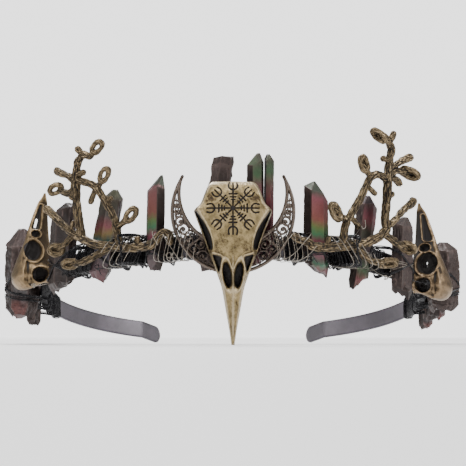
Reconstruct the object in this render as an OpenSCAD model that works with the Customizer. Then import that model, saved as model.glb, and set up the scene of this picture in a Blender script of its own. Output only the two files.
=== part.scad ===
// Gothic crown: raven skulls, a pierced crescent moon, twigs and wired quartz points on a steel band.
// The crown rests on the beak of its centre skull and on the two bent ends of the band.
// Front is -Y, up is +Z. Angles round the band are counted from the front, plus to the right.

/* [Head band] */
// Outer radius of the bent strip
band_r = 66; // [64:1:70]
// Thickness of the strip
band_t = 1; // [0.8:0.1:1.2]
// Width of the strip
band_w = 6.4; // [5.6:0.2:7]
// How far the plane of the band leans, front up, in degrees
band_tilt = 12; // [11:0.5:13]
// Angle from the front to the bend ahead of each end tab
band_reach = 148; // [144:1:150]
// Length of the rounded tab past the bend
tab_len = 13; // [11:0.5:15]
// How far the tab turns outwards at the bend, in degrees
tab_turn = 31; // [25:1:36]

/* [Raven skulls] */
// Height of the centre skull from beak tip to crown
skull_h = 48.8; // [46:0.2:50]
// Width of the centre skull across its ears
skull_w = 24.4; // [22:0.2:26]
// Depth of the centre skull from its open back to its brow
skull_d = 11; // [10:0.5:12]
// Thickness of the cast wall
skull_wall = 1.3; // [1.1:0.1:1.5]
// Depth of the engraved stave
stave_cut = 0.45; // [0.3:0.05:0.6]
// Height of each side skull
side_skull_h = 31.6; // [30:0.2:33]
// Depth of each side skull
side_skull_d = 11.4; // [10.5:0.1:12]

/* [Moon] */
// Radius of the outer rim
moon_r = 19; // [18.6:0.1:19.2]
// Radius of the inner rim
moon_bite_r = 15.9; // [15.5:0.1:16.2]
// Width of each rim
moon_rim = 1.1; // [0.9:0.1:1.4]
// Thickness of the plate
moon_t = 1.3; // [1:0.1:1.6]

/* [Twigs] */
// Radius at which the middle of the twigs lies
twig_r = 76.4; // [76:0.1:77]
// Scale on the thickness of the branches
twig_girth = 1; // [0.9:0.05:1.1]

/* [Wire] */
// Thickness of the wound sleeve round the band
sleeve_t = 0.7; // [0.5:0.1:0.8]
// Gap between the band and its sleeve
sleeve_gap = 0.12; // [0.1:0.01:0.2]
// Radius of a binding wire bundle
wire_r = 0.5; // [0.4:0.05:0.55]

/* [Hidden] */

// Colours of the finishes
gunmetal = "#5b5a60";
bronze = "#8a7440";
dark_bronze = "#5c4426";
plum_metal = "#5a4148";
black_wire = "#25232a";

// How far a tab's root reaches into the band
tab_root = 0.45;

// Height of the middle of the band, so that the lowest point of the rounded tabs is at 0
tab_end_r = band_w / 2 - 0.05;
tab_mid_y = -band_r * cos(band_reach) + (tab_len - tab_end_r) * sin(band_reach - tab_turn);
tab_drop = sqrt(pow(cos(band_tilt), 2) + pow(sin(band_tilt) * sin(band_reach - tab_turn), 2));
ring_z = tab_mid_y * sin(band_tilt) + tab_end_r * tab_drop + 0.05;

// Radii of the layers from the band outwards
crystal_in_r = band_r + sleeve_gap + sleeve_t + 0.2;
moon_y = 72.7;
skull_back_y = moon_y + moon_t + 0.35;

// Height of the moon's centre, and how far above it the centre of the inner rim lies
moon_z = 40.4;
moon_bite_up = 5.9;

// Free space round the binding wires, and how far the twigs' eyelets stand out
wire_gap = 0.35;
eye_out = 0.35;

// The crown's front and back, which put its origin in the middle of its footprint
front_y = skull_back_y + skull_d + 0.3;
back_y = (tab_mid_y + tab_end_r * sin(band_reach - tab_turn)) * cos(band_tilt);
shift_y = (front_y - back_y) / 2;

// Rows from the beak tip to the crown of a skull 48.8 high, 24.4 wide and 11 deep.
// Columns: height, half width, half width of the brow, depth of the side, depth of the brow,
// depth of the middle, pinch of the side between the two edges
SKULL = [
    [0, 0.5, 0.35, 0.4, 0.9, 1.2, 0.5],
    [4.6, 1.15, 0.8, 1.0, 2.1, 2.8, 0.5],
    [11, 2.35, 1.7, 1.5, 3.6, 4.7, 0.5],
    [17, 3.3, 2.6, 1.8, 4.8, 6, 0.5],
    [21.2, 4.8, 3.6, 2, 5.4, 6.7, 0.5],
    [25, 6.2, 4.9, 2.2, 5.9, 7.4, 0.6],
    [27.8, 7.4, 6.6, 2.5, 6.3, 8.2, 0.8],
    [29.3, 7.9, 6, 2.3, 6.9, 8.6, 1.05],
    [32.8, 9.2, 6.8, 2.3, 7.9, 9.4, 1.15],
    [36, 10.4, 8.3, 2.5, 8.7, 10.1, 1.1],
    [39.2, 11.6, 10.4, 2.9, 9.3, 10.7, 0.8],
    [40.7, 12.2, 11.3, 3.1, 9.3, 10.9, 0.6],
    [42, 10, 9.4, 3.1, 9.2, 11, 0.5],
    [44.8, 9, 8.5, 2.9, 8.8, 10.8, 0.5],
    [47.6, 8, 7.3, 2.5, 7.4, 9.4, 0.5],
    [48.8, 7, 6, 1.9, 5.6, 7.2, 0.5],
];
SKULL_SIZE = [24.4, 11, 48.8];

// Branches of the twigs. Columns of each row: angle, height, radius of the branch
TWIG_LEFT = [
    [[-38.2, 34, 1.3], [-39.2, 39.5, 1.35], [-39.9, 44.6, 1.3], [-40.2, 50, 1.5], [-39.9, 54, 1.25],
        [-39.4, 57.3, 1.2], [-37.7, 59.3, 1.2], [-35.8, 58.6, 1], [-34.6, 59.8, 0.8]],
    [[-40.2, 50.8, 1.1], [-42.4, 52.8, 1], [-44.6, 53.8, 1.1], [-47, 55, 1.25]],
    [[-40.1, 49.4, 1.1], [-42.6, 47.6, 1.1], [-45.6, 48.6, 0.9]],
    [[-40.1, 51.4, 1.2], [-36.6, 50.4, 1.1], [-33.8, 48.6, 1.15], [-31.1, 44.3, 1.1],
        [-28.6, 38.9, 1.1], [-27.7, 34.7, 1.15], [-27, 30.6, 1.2]],
    [[-33.8, 48.4, 1], [-32.2, 50.5, 0.8]],
    [[-27.7, 36, 1], [-25.1, 38.4, 0.85]],
    [[-50, 42.5, 1.3], [-46.2, 39, 1.1], [-41.6, 35.2, 1.15], [-37.5, 32.7, 1.3], [-33, 30.8, 1.3],
        [-27, 30, 1.45], [-24.1, 29.6, 1.3], [-19.8, 30.1, 1.35], [-18.2, 31.2, 1.2],
        [-17.2, 33, 1.1], [-15.7, 34.2, 1.1], [-14.5, 33, 1.05], [-14.5, 31, 1]],
    [[-41, 34.6, 1], [-43.4, 32, 0.9], [-46.3, 30.3, 0.85]],
    [[-29, 30, 1], [-33.6, 27.6, 1], [-37.4, 25.8, 1], [-40.3, 25.3, 0.9]],
];
TWIG_RIGHT = [
    [[39, 36, 1.3], [38.4, 38.5, 1.3], [39, 45.3, 1.3], [39.4, 51.5, 1.5], [39.6, 54.6, 1.3],
        [40, 57.8, 1.2], [40.6, 61.6, 1.25], [39.2, 64.2, 1.15], [36.8, 66, 0.95]],
    [[39.6, 55, 1.1], [42, 56.4, 1], [44.2, 57.8, 1.05], [46.4, 59, 1.2]],
    [[39.5, 52.6, 1.1], [42.4, 54.6, 1], [45.7, 54.5, 0.95]],
    [[39.4, 51.6, 1.1], [41.4, 52.2, 1.05], [43.4, 50.8, 1.1]],
    [[39.3, 51.4, 1.2], [36.2, 53, 1.1], [34, 51.8, 1.15], [32.8, 49.4, 1.15], [31.2, 45.6, 1.1],
        [28.6, 40.6, 1.1], [26.9, 36.7, 1.2], [26.4, 32.9, 1.2], [26.2, 30.6, 1.2]],
    [[34, 52.2, 1], [31.8, 55.2, 0.9]],
    [[27.4, 37.6, 1], [24.2, 41, 0.9]],
    [[38.7, 36.6, 1.1], [41.2, 38.6, 1], [44.4, 42, 1.05], [47.8, 44.8, 1.2]],
    [[14, 32.8, 1], [15.4, 31.9, 1.1], [17.4, 31.1, 1.2], [18.6, 30, 1.3], [22.5, 29.7, 1.35],
        [26.7, 30.4, 1.45], [31.4, 31.1, 1.35], [36.3, 33.3, 1.35], [38.8, 36, 1.35]],
    [[38, 34.6, 1.1], [41.6, 32.2, 1.1], [45.2, 30.7, 0.95]],
    [[29, 30.4, 1.1], [31.4, 28, 1.05], [34, 26, 1], [37.2, 25.6, 0.95]],
];
// Eyelets of the twigs. Columns: angle, height, ring radius, wire radius, yaw, tip
EYES_LEFT = [
    [-33.4, 61.2, 1.5, 0.8, 20, 0], [-47.3, 49.3, 2.2, 0.9, 25, 0], [-31.3, 52, 2.1, 0.8, 20, 0],
    [-24.1, 39.7, 1.7, 0.75, 10, 0], [-47.7, 29.8, 1.9, 0.85, 30, -35], [-42, 25.2, 2.3, 0.85, 20, -50],
];
EYES_RIGHT = [
    [35.2, 66.6, 2.1, 0.8, -15, 70], [47.3, 54.2, 2.6, 0.85, -35, 68], [31.4, 56.6, 2, 0.8, 50, 25],
    [23.2, 41.8, 2.1, 0.8, 30, 50], [46.6, 30.4, 2.2, 0.85, -20, 62], [39.1, 25.6, 2.4, 0.85, -10, -58],
];
// Short buds of the twigs. Columns: angle, height, angle of the tip, height of the tip, radius
BUDS_LEFT = [
    [-38, 59.2, -39.4, 61.2, 1], [-39.8, 53, -37.6, 53.7, 1], [-34, 48, -35.2, 44.4, 0.9],
    [-40, 45, -41.4, 46.2, 0.9], [-42, 35.6, -40.6, 38, 0.9], [-30.6, 43.6, -29.4, 45, 0.8],
    [-22, 29.8, -22.4, 32.2, 0.9], [-49.8, 42.4, -50.6, 43, 1.35],
];
BUDS_RIGHT = [
    [40.2, 63.4, 41.2, 66.2, 1], [39.9, 57.6, 37.8, 58, 1], [33, 49, 35, 47, 0.9],
    [39, 46, 40.6, 47, 0.9], [28, 39.6, 30.2, 36.4, 0.9], [47.6, 44.6, 48.3, 45.4, 1.35],
    [22, 29.8, 22.3, 32.1, 0.9], [46.2, 58.9, 47, 59.3, 1.3],
];

// Quartz points. Columns: angle, foot, shoulder, tip, width, depth, lean of the top to the right,
// place of the tip from left to right, width of the tip as a share, gap ahead of the sleeve
LEFT_REAR = [-93, 5.5, 20, 25, 7, 5.6, 0, 0.2, 0.2, 0.3];
LEFT_OUTER = [-80.5, 8, 33.5, 39.6, 9, 11.6, 1, -0.2, 0.25, 0.2];
LEFT_WIDE = [-52, 15.4, 42.6, 45.6, 12.4, 5.6, 2.2, 0.3, 0.2, 0];
LEFT_LEANING = [-35.2, 18.8, 45.2, 48.6, 8.4, 5.2, 6, 0.2, 0.3, 0];
LEFT_TALL = [-20.1, 22.2, 47.6, 52.4, 6.2, 5.2, 0.4, 0.7, 0.15, 0];
BACK_LEFT = [-4.4, 22, 55, 58, 7, 4.5, 4.9, 0, 0.85, 0];
BACK_RIGHT = [5.6, 23.5, 55.4, 59, 5.5, 4.5, 0.2, 0.5, 0.25, 0];
BACK_SLIM = [9.2, 25, 56.8, 58.8, 2.6, 4.4, 0.5, -0.3, 0.4, 0];
RIGHT_TALL = [21.6, 20, 46.6, 50.6, 8.2, 5.2, 0.2, -0.2, 0.15, 0];
RIGHT_LEANING = [35.9, 16.2, 43.8, 47, 7.1, 5.2, 4.4, 0, 0.3, 0];
RIGHT_WIDE = [51.3, 13.6, 37.6, 41.2, 11, 5.6, 1, 0.4, 0.25, 0];
RIGHT_OUTER = [79.5, 10, 31, 34.6, 9, 11.2, -1, -0.1, 0.3, 0.2];
RIGHT_REAR = [91.5, 7.4, 20.4, 24, 7, 7, 0, 0, 0.3, 0.3];
RIGHT_LAST = [100.5, 4.6, 17.4, 20.4, 6.4, 5, 0.6, -0.3, 0.3, 0.3];

// Shapes worked out by functions

function unit(v) = v / norm(v);

// Point at an angle from the front, at a radius and a height
function around(angle, radius, height) = [radius * sin(angle), -radius * cos(angle), height];

// Directions along a path: between the neighbours of each point, or along the end pieces
function along(path, loop = false) = let (last = len(path) - 1) [
    for (i = [0 : last])
        unit(path[i == last ? (loop ? 0 : last) : i + 1] - path[i == 0 ? (loop ? last : 0) : i - 1])
];

// Carries a side direction along a path so that it turns no more than the path does
function carried(dirs, side, i = 0) = i >= len(dirs) ? []
    : let (s = unit(side - (side * dirs[i]) * dirs[i])) concat([s], carried(dirs, s, i + 1));

// Angle from direction a to direction b, seen against the axis
function turn(a, b, axis) = atan2(cross(a, b) * axis, a * b);

// Rings of points round a path; a loop's leftover twist is shared out along it
function tube_rings(path, radii, sides, loop = false) = let (
    n = len(path),
    dirs = along(path, loop),
    seed = abs(dirs[0].z) < 0.8 ? [0, 0, 1] : [1, 0, 0],
    normals = carried(dirs, seed),
    back = loop ? unit(normals[n - 1] - (normals[n - 1] * dirs[0]) * dirs[0]) : normals[0],
    twist = loop ? turn(back, normals[0], dirs[0]) : 0
) [
    for (i = [0 : n - 1]) let (side = normals[i], across = cross(dirs[i], side)) [
        for (k = [0 : sides - 1]) let (phi = 360 * k / sides + twist * i / n)
            path[i] + radii[i] * (cos(phi) * side + sin(phi) * across)
    ]
];

// A closed skin over a stack of rings that each hold the same number of points
module skin(rings, loop = false) {
    n = len(rings[0]);
    count = len(rings);
    walls = [
        for (i = [0 : count - (loop ? 1 : 2)], j = [0 : n - 1], half = [0, 1])
            let (next = (i + 1) % count, side = (j + 1) % n, p = i * n + j, q = i * n + side,
                r = next * n + side, s = next * n + j)
                half == 0 ? [p, s, r] : [p, r, q]
    ];
    ends = loop ? [] : [
        [for (j = [0 : n - 1]) j],
        [for (j = [n - 1 : -1 : 0]) (count - 1) * n + j],
    ];
    polyhedron(points = [for (ring = rings, p = ring) p], faces = concat(walls, ends), convexity = 8);
}

// Places a child at an angle round the upright axis, with its own -Y pointing outwards
module at_angle(angle, radius = 0, height = 0) {
    translate(around(angle, radius, height)) rotate([0, 0, angle]) children();
}

// Puts a child that is drawn flat round the origin into the leaning plane of the band
module on_band() {
    translate([0, 0, ring_z]) rotate([-band_tilt, 0, 0]) children();
}

// Moves the crown from the middle of its band to the middle of its footprint
module crown() {
    translate([0, shift_y, 0]) children();
}

// The band

module headband_tab(side) {
    at_angle(side * band_reach, band_r - band_t / 2)
        rotate([0, 0, side * -tab_turn]) rotate([90, 0, 0])
            translate([0, 0, -band_t / 2]) linear_extrude(band_t) {
                translate([side > 0 ? -tab_root : -(tab_len - tab_end_r), -tab_end_r])
                    square([tab_len - tab_end_r + tab_root, 2 * tab_end_r]);
                translate([side * (tab_len - tab_end_r), 0]) circle(tab_end_r, $fn = 48);
            }
}

module headband() {
    color(gunmetal) crown() on_band() {
        rotate([0, 0, -90 - band_reach]) rotate_extrude(angle = 2 * band_reach, $fn = 180)
            translate([band_r - band_t, -band_w / 2]) square([band_t, band_w]);
        for (side = [-1, 1]) headband_tab(side);
    }
}

// Wound wire round the band, from one angle to another
module wire_sleeve(from, to) {
    inner = [band_t + 2 * sleeve_gap, band_w + 2 * sleeve_gap];
    color(black_wire) crown() on_band() rotate([0, 0, from - 90])
        rotate_extrude(angle = to - from, $fn = 180)
            translate([band_r - band_t / 2, 0]) difference() {
                square(inner + 2 * sleeve_t * [1, 1], center = true);
                square(inner, center = true);
            }
}

// Raven skulls

// Half of a cross-section of the skull, from the open back round to the middle of the brow
function skull_half(row, inset) = let (
    w = max(row[1] - inset, 0.2), b = max(row[2] - inset, 0.15),
    d_side = row[3], d_brow = max(row[4] - inset, 0.3), d_mid = max(row[5] - inset, 0.4)
) [
    [0.94 * w, 0], [w, 0.5 * d_side], [0.97 * w, d_side],
    [w + (b - w) * row[6], (d_side + d_brow) / 2],
    [b, d_brow], [0.66 * b, 0.3 * d_brow + 0.7 * d_mid], [0.3 * b, d_mid],
];

function skull_ring(row, inset, sink) = let (half = skull_half(row, inset), last = len(half) - 1) concat(
    [for (p = half) [-p.x, -p.y - (p.y == 0 ? sink : 0), row[0]]],
    [[0, -max(row[5] - inset, 0.4) - (inset > 0 ? 0 : 0.15), row[0]]],
    [for (i = [last : -1 : 0]) [half[i].x, -half[i].y - (half[i].y == 0 ? sink : 0), row[0]]]
);

// The skull's outer form, or a smaller one inside it that reaches out past the open back
module skull_form(first, last, inset = 0) {
    sink = inset > 0 ? -1 : 0;
    skin([for (i = [first : last]) skull_ring(SKULL[i] + [inset > 0 && i == last ? -inset : 0,
        0, 0, 0, 0, 0, 0], inset, sink)]);
}

// A blind pocket with rounded corners, sunk from the front of the skull to a floor near its back
module front_pocket(corners, r) {
    hull() for (p = corners) translate([p.x, -1.4, p.y]) rotate([90, 0, 0]) cylinder(r = r, h = 14, $fn = 8);
}

// A hole with rounded corners, cut across the skull from side to side
module side_hole(corners, r) {
    hull() for (p = corners) translate([-20, -p.x, p.y]) rotate([0, 90, 0]) cylinder(r = r, h = 40, $fn = 9);
}

// One arm of the stave, pointing up: a stem, three bars and a three-pronged end
module stave_arm() {
    reach = 7.3;
    line = 0.5;
    translate([-line / 2, 0]) square([line, reach - 0.2]);
    for (bar = [2.5, 3.6, 4.7]) translate([-0.85, bar]) square([1.7, 0.4]);
    translate([-1.2, reach - 1.9]) square([2.4, line]);
    for (side = [-1, 1]) translate([side * 1.2 - line / 2, reach - 1.9]) square([line, 1.5]);
}

// The engraving is as deep as the stave cut everywhere, so it follows the brow
module stave() {
    difference() {
        translate([0, -7, 41]) rotate([90, 0, 0]) linear_extrude(8)
            for (arm = [0 : 7]) rotate(45 * arm) stave_arm();
        skull_form(5, len(SKULL) - 1, stave_cut);
    }
}

module skull_scaled(h, w, d) {
    scale([w / SKULL_SIZE.x, d / SKULL_SIZE.y, h / SKULL_SIZE.z]) children();
}

module raven_skull() {
    color(bronze) crown() translate([0, -skull_back_y, 0]) skull_scaled(skull_h, skull_w, skull_d)
        difference() {
            skull_form(0, len(SKULL) - 1);
            skull_form(7, len(SKULL) - 1, skull_wall);
            for (side = [-1, 1]) {
                front_pocket([[side * 1.5, 18.3], [side * 1.9, 23.8]], 1.05);
                front_pocket([[side * 5.7, 26.6], [side * 4.3, 26.5], [side * 4.7, 23.4]], 0.55);
                hull() for (p = [[6.6, 4.9, 31.2], [8, 5.3, 36.6]])
                    translate([side * p.x, -p.y, p.z]) rotate([0, side * 90, 0])
                        cylinder(r1 = 1.3, r2 = 2, h = 6, $fn = 9);
                hull() for (z = [42, 43.4])
                    translate([side * 6, -5.2, z]) rotate([0, side * 90, 0]) cylinder(r = 0.9, h = 6, $fn = 7);
            }
            stave();
        }
}

// A side skull stands on its crown, with its back to the band; its holes are seen from the side
module side_skull(angle, foot) {
    color(bronze) crown() at_angle(angle, crystal_in_r + 0.9, foot + side_skull_h)
        mirror([0, 0, 1]) skull_scaled(side_skull_h, side_skull_h * 0.5, side_skull_d)
            difference() {
                union() {
                    skull_form(0, len(SKULL) - 1);
                    for (side = [-1, 1]) {
                        translate([side * 8.2, -6, 28.4]) rotate([0, side * 90, 0])
                            rotate_extrude($fn = 12) translate([4, 0]) circle(r = 0.8, $fn = 6);
                        for (z = [35.5, 40]) hull() {
                            translate([side * 9.8, -3.2, z]) sphere(r = 0.9, $fn = 6);
                            translate([side * 7.6, -8.6, z + 2.6]) sphere(r = 0.9, $fn = 6);
                        }
                    }
                }
                skull_form(2, len(SKULL) - 1, skull_wall);
                side_hole([[3.6, 13], [4, 17.6]], 0.75);
                side_hole([[2.6, 20.4], [3.4, 22.6]], 0.85);
                side_hole([[6, 26.6], [6, 30.2]], 2.3);
                side_hole([[2.4, 37.4], [3, 38.8]], 1.1);
            }
}

module raven_skull_left() { side_skull(-66, 17.4); }
module raven_skull_right() { side_skull(64, 13.9); }

// The moon

// A spiral strip that keeps near its outer radius for its first turn and then winds in
module spiral(r_out, r_in, turns, strip, steps = 24) {
    function spot(i, r_off) = let (f = i / steps, r = r_out + (r_in - r_out) * pow(f, 1.7) + r_off)
        [r * cos(360 * turns * f), r * sin(360 * turns * f)];
    polygon(concat([for (i = [0 : steps]) spot(i, strip / 2)], [for (i = [steps : -1 : 0]) spot(i, -strip / 2)]));
}

module moon_outline() {
    difference() {
        circle(moon_r, $fn = 72);
        translate([0, moon_bite_up]) circle(moon_bite_r, $fn = 72);
        translate([-30, 11.2]) square([60, 30]);
    }
}

// Distance from the centre to the inner rim, at an angle from the bottom
function moon_inner(angle) = sqrt(pow(moon_bite_r + moon_rim, 2) - pow(moon_bite_up * sin(angle), 2))
    - moon_bite_up * cos(angle);

// Two rows of scrolls where the crescent is wide and one where it narrows
module moon_scrolls() {
    outer = moon_r - moon_rim;
    strip = 0.56;
    // Columns: angle from the bottom, share of the field's width, side of the field (1 outer,
    // -1 inner, 0 middle), hand of the scroll, start angle
    scrolls = [
        [6.5, 0.28, 1, 1, 20], [20, 0.28, 1, -1, 70], [33.5, 0.28, 1, 1, 20], [46, 0.29, 1, -1, 70],
        [0, 0.27, -1, 1, 200], [15, 0.27, -1, -1, 160], [30.5, 0.28, -1, 1, 210], [44, 0.29, -1, -1, 150],
        [58, 0.52, 0, 1, 0], [71.5, 0.53, 0, -1, 180], [81, 0.57, 0, 1, 25],
    ];
    for (side = [-1, 1], s = scrolls) let (
        inner = moon_inner(s[0]), r = (outer - inner) * s[1],
        reach = s[2] > 0 ? outer - r * 0.93 : s[2] < 0 ? inner + r * 0.93 : (outer + inner) / 2
    )
        rotate(-90 + side * s[0]) translate([reach, 0]) scale([1, side * s[3]]) rotate(s[4]) {
            spiral(r, r * 0.22, 1.6, strip);
            circle(r * 0.3, $fn = 8);
        }
    for (side = [-1, 1], bar = [87, 95]) rotate(-90 + side * bar) translate([moon_r - 5, -0.35]) square([5, 0.7]);
}

module crescent_moon() {
    color(dark_bronze) crown() translate([0, -moon_y, moon_z]) rotate([90, 0, 0]) linear_extrude(moon_t) {
        difference() {
            moon_outline();
            offset(delta = -moon_rim) moon_outline();
        }
        intersection() {
            offset(delta = -moon_rim / 2) moon_outline();
            moon_scrolls();
        }
    }
}

// Twigs

module branch(rows) {
    path = [for (row = rows) around(row[0], twig_r, row[1])];
    skin(tube_rings(path, [for (row = rows) row[2] * twig_girth], 7));
}

module eyelet(row) {
    at_angle(row[0], twig_r + eye_out, row[1]) rotate([row[5], 0, row[4]]) rotate([90, 0, 0])
        rotate_extrude($fn = 10) translate([row[2], 0]) circle(r = row[3], $fn = 6);
}

module bud(row) {
    hull() {
        at_angle(row[0], twig_r, row[1]) sphere(r = row[4] * 0.8, $fn = 6);
        at_angle(row[2], twig_r + 0.3, row[3]) sphere(r = row[4], $fn = 6);
    }
}

module twig(branches, eyes, buds) {
    color(bronze) crown() {
        for (rows = branches) branch(rows);
        for (row = eyes) eyelet(row);
        for (row = buds) bud(row);
    }
}

module twig_left() { twig(TWIG_LEFT, EYES_LEFT, BUDS_LEFT); }
module twig_right() { twig(TWIG_RIGHT, EYES_RIGHT, BUDS_RIGHT); }

// Crystals

// One quartz point: a six-sided prism that starts at a broken foot and ends in a skewed tip
module crystal(row) {
    height = row[3] - row[1];
    w = row[4];
    d = row[5];
    // Columns: share of the height, share of the section, share of the lean, slant of the ring
    rings = [[0, 0.6, 0, 1.4], [0.12, 0.94, 0.12, 0.8], [0.5, 1, 0.5, 0],
        [(row[2] - row[1]) / height, 0.92, 0.93, 1.1], [0.985, row[8], 1, 0.5]];
    color(plum_metal) crown() at_angle(row[0], crystal_in_r + row[9] + d / 2, row[1]) skin([
        for (ring = rings) [
            for (k = [0 : 5]) let (phi = 60 * k + 20, top = ring[0] > 0.9 ? 1 : 0)
                [w / 2 * ring[1] * cos(phi) / cos(20) + row[6] * (ring[2] - 0.5)
                    + top * (1 - ring[1]) * row[7] * w / 2,
                    d / 2 * ring[1] * sin(phi) / sin(80),
                    height * ring[0] + ring[3] * (k % 2 == 0 ? 0.5 : -0.3) + (ring[0] == 0 ? 0.6 : 0)]
        ]
    ]);
}

module crystal_left_rear() { crystal(LEFT_REAR); }
module crystal_left_outer() { crystal(LEFT_OUTER); }
module crystal_left_wide() { crystal(LEFT_WIDE); }
module crystal_left_leaning() { crystal(LEFT_LEANING); }
module crystal_left_tall() { crystal(LEFT_TALL); }
module crystal_back_left() { crystal(BACK_LEFT); }
module crystal_back_right() { crystal(BACK_RIGHT); }
module crystal_back_slim() { crystal(BACK_SLIM); }
module crystal_right_tall() { crystal(RIGHT_TALL); }
module crystal_right_leaning() { crystal(RIGHT_LEANING); }
module crystal_right_wide() { crystal(RIGHT_WIDE); }
module crystal_right_outer() { crystal(RIGHT_OUTER); }
module crystal_right_rear() { crystal(RIGHT_REAR); }
module crystal_right_last() { crystal(RIGHT_LAST); }

// Wire

module wire_sleeve_left() { wire_sleeve(-106, -13.5); }
module wire_sleeve_front() { wire_sleeve(-13, 13); }
module wire_sleeve_right() { wire_sleeve(13.5, 106); }

// Angle in the leaning plane of the band that lies under an angle from the front
function plane_angle(angle) = atan2(sin(angle) * cos(band_tilt), cos(angle));

// How far above and below the middle of the band a binding wire passes it
rise = band_w / 2 + sleeve_gap + sleeve_t + wire_r + wire_gap;

// Height of the middle of the band under an angle from the front
function band_height(angle) = ring_z + band_r * cos(plane_angle(angle)) * sin(band_tilt);

// A wire that crosses itself in front of what it holds and goes round the back of the band.
// half is half the width that it clears, front is how far out the crossing lies, depth is how
// far back the wire still runs beside what it holds, and climb is how much of its full height
// it has kept there; offset moves it along the band
module binding_wire(angle, half, front, depth, climb, offset = 0) {
    plane = plane_angle(angle);
    shrink = norm([sin(plane), cos(plane) * cos(band_tilt)]);
    lean = sin(band_tilt) * cos(plane);
    slope = -sin(band_tilt) * sin(plane);
    inside = (band_r - band_t - sleeve_gap - sleeve_t) * shrink - wire_r - wire_gap
        - pow(half + wire_r + abs(offset), 2) / (2 * band_r);
    outside = (band_r + sleeve_gap + sleeve_t) * shrink + wire_r + wire_gap;
    middle = (band_r - band_t / 2) * shrink;
    over = front + 2 * wire_r + 0.12;
    beside = rise * climb;
    // Columns: distance to the right, distance from the middle of the ring, height on the band
    turns = [
        [-half, outside, -rise], [-half, front - depth, -beside], [-half * 0.6, front, -beside / 2],
        [half * 0.6, front, beside / 2], [half, front - depth, beside], [half, outside, rise],
        [half, inside, rise], [half, inside - 0.1, 0], [half, inside, -rise],
        [half, outside + 0.2, -rise], [half, over - depth, -beside], [half * 0.6, over, -beside / 2],
        [-half * 0.6, over, beside / 2], [-half, over - depth, beside], [-half, outside + 0.2, rise],
        [-half, inside, rise], [-half, inside - 0.1, 0], [-half, inside, -rise],
    ];
    path = [
        for (p = turns) let (x = p.x + offset, hugs = p.y < outside + 0.5 ? lean : 0)
            [x, hugs * p.z - p.y, band_height(angle) + p.z + x * slope + hugs * (p.y - middle)]
    ];
    color(black_wire) crown() rotate([0, 0, angle])
        skin(tube_rings(path, [for (p = path) wire_r], 5, true), true);
}

// The same for a crystal: clear of its width, also where it leans, and ahead of its front face
module crystal_binding(row) {
    height = row[3] - row[1];
    offset = row[6] * ((band_height(row[0]) - row[1]) / height - 0.5);
    half = row[4] / 2 + wire_r + wire_gap + rise * abs(row[6]) / height;
    binding_wire(row[0], half, crystal_in_r + row[9] + row[5] + wire_r + 0.2, row[5] * 0.4, 0.75, offset);
}

// The same for a twig, whose branch it passes in front of
module twig_binding(angle) {
    binding_wire(angle, 0.66, twig_r + 2.15, 0.1, 1);
}

module binding_wire_left_rear() { crystal_binding(LEFT_REAR); }
module binding_wire_left_outer() { crystal_binding(LEFT_OUTER); }
module binding_wire_left_wide() { crystal_binding(LEFT_WIDE); }
module binding_wire_left_leaning() { crystal_binding(LEFT_LEANING); }
module binding_wire_left_tall() { crystal_binding(LEFT_TALL); }
module binding_wire_left_twig() { twig_binding(-25.6); }
module binding_wire_right_tall() { crystal_binding(RIGHT_TALL); }
module binding_wire_right_twig() { twig_binding(28.9); }
module binding_wire_right_leaning() { crystal_binding(RIGHT_LEANING); }
module binding_wire_right_wide() { crystal_binding(RIGHT_WIDE); }
module binding_wire_right_outer() { crystal_binding(RIGHT_OUTER); }
module binding_wire_right_rear() { crystal_binding(RIGHT_REAR); }

headband();
raven_skull();
raven_skull_left();
raven_skull_right();
crescent_moon();
twig_left();
twig_right();
crystal_left_rear();
crystal_left_outer();
crystal_left_wide();
crystal_left_leaning();
crystal_left_tall();
crystal_back_left();
crystal_back_right();
crystal_back_slim();
crystal_right_tall();
crystal_right_leaning();
crystal_right_wide();
crystal_right_outer();
crystal_right_rear();
crystal_right_last();
wire_sleeve_left();
wire_sleeve_front();
wire_sleeve_right();
binding_wire_left_rear();
binding_wire_left_outer();
binding_wire_left_wide();
binding_wire_left_leaning();
binding_wire_left_tall();
binding_wire_left_twig();
binding_wire_right_tall();
binding_wire_right_twig();
binding_wire_right_leaning();
binding_wire_right_wide();
binding_wire_right_outer();
binding_wire_right_rear();
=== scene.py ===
"""Gothic crown: raven skulls, pierced moon, bark twigs and wired quartz points on an open steel band.

Each piece is a surface worked out with numpy from the same named sizes as the crown's solids.
Lengths in the tables are millimetres, angles are degrees from the front, plus to the right.
"""

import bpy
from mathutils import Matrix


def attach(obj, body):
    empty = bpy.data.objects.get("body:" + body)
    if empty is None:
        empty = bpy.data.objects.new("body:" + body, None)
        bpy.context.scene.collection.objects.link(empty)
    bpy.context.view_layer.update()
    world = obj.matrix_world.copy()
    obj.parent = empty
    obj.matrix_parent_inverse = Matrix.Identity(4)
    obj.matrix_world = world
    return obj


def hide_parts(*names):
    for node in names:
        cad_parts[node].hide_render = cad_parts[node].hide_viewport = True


bl_info = {
    "name": "Gothic raven crown",
    "version": (1, 0, 0),
    "blender": (4, 5, 0),
    "location": "3D View > Sidebar > Crown",
    "description": "Dresses a crown of raven skulls, moon, twigs and wired quartz on a steel band",
    "category": "Add Mesh",
}

import math

import bpy
import numpy as np
from mathutils import Vector

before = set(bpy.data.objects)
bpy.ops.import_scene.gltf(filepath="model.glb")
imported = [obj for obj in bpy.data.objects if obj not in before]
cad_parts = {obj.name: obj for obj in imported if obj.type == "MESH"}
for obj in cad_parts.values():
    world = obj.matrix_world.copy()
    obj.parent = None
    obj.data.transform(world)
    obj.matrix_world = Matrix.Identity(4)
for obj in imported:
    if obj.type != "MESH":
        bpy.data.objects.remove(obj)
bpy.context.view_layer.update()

MM = 0.001

# The band, as in the crown's solids: outer radius, thickness and width, and how far its plane leans,
# front up
BAND_R, BAND_T, BAND_W = 66.0, 1.0, 6.4
BAND_TILT = math.radians(12)
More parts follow.
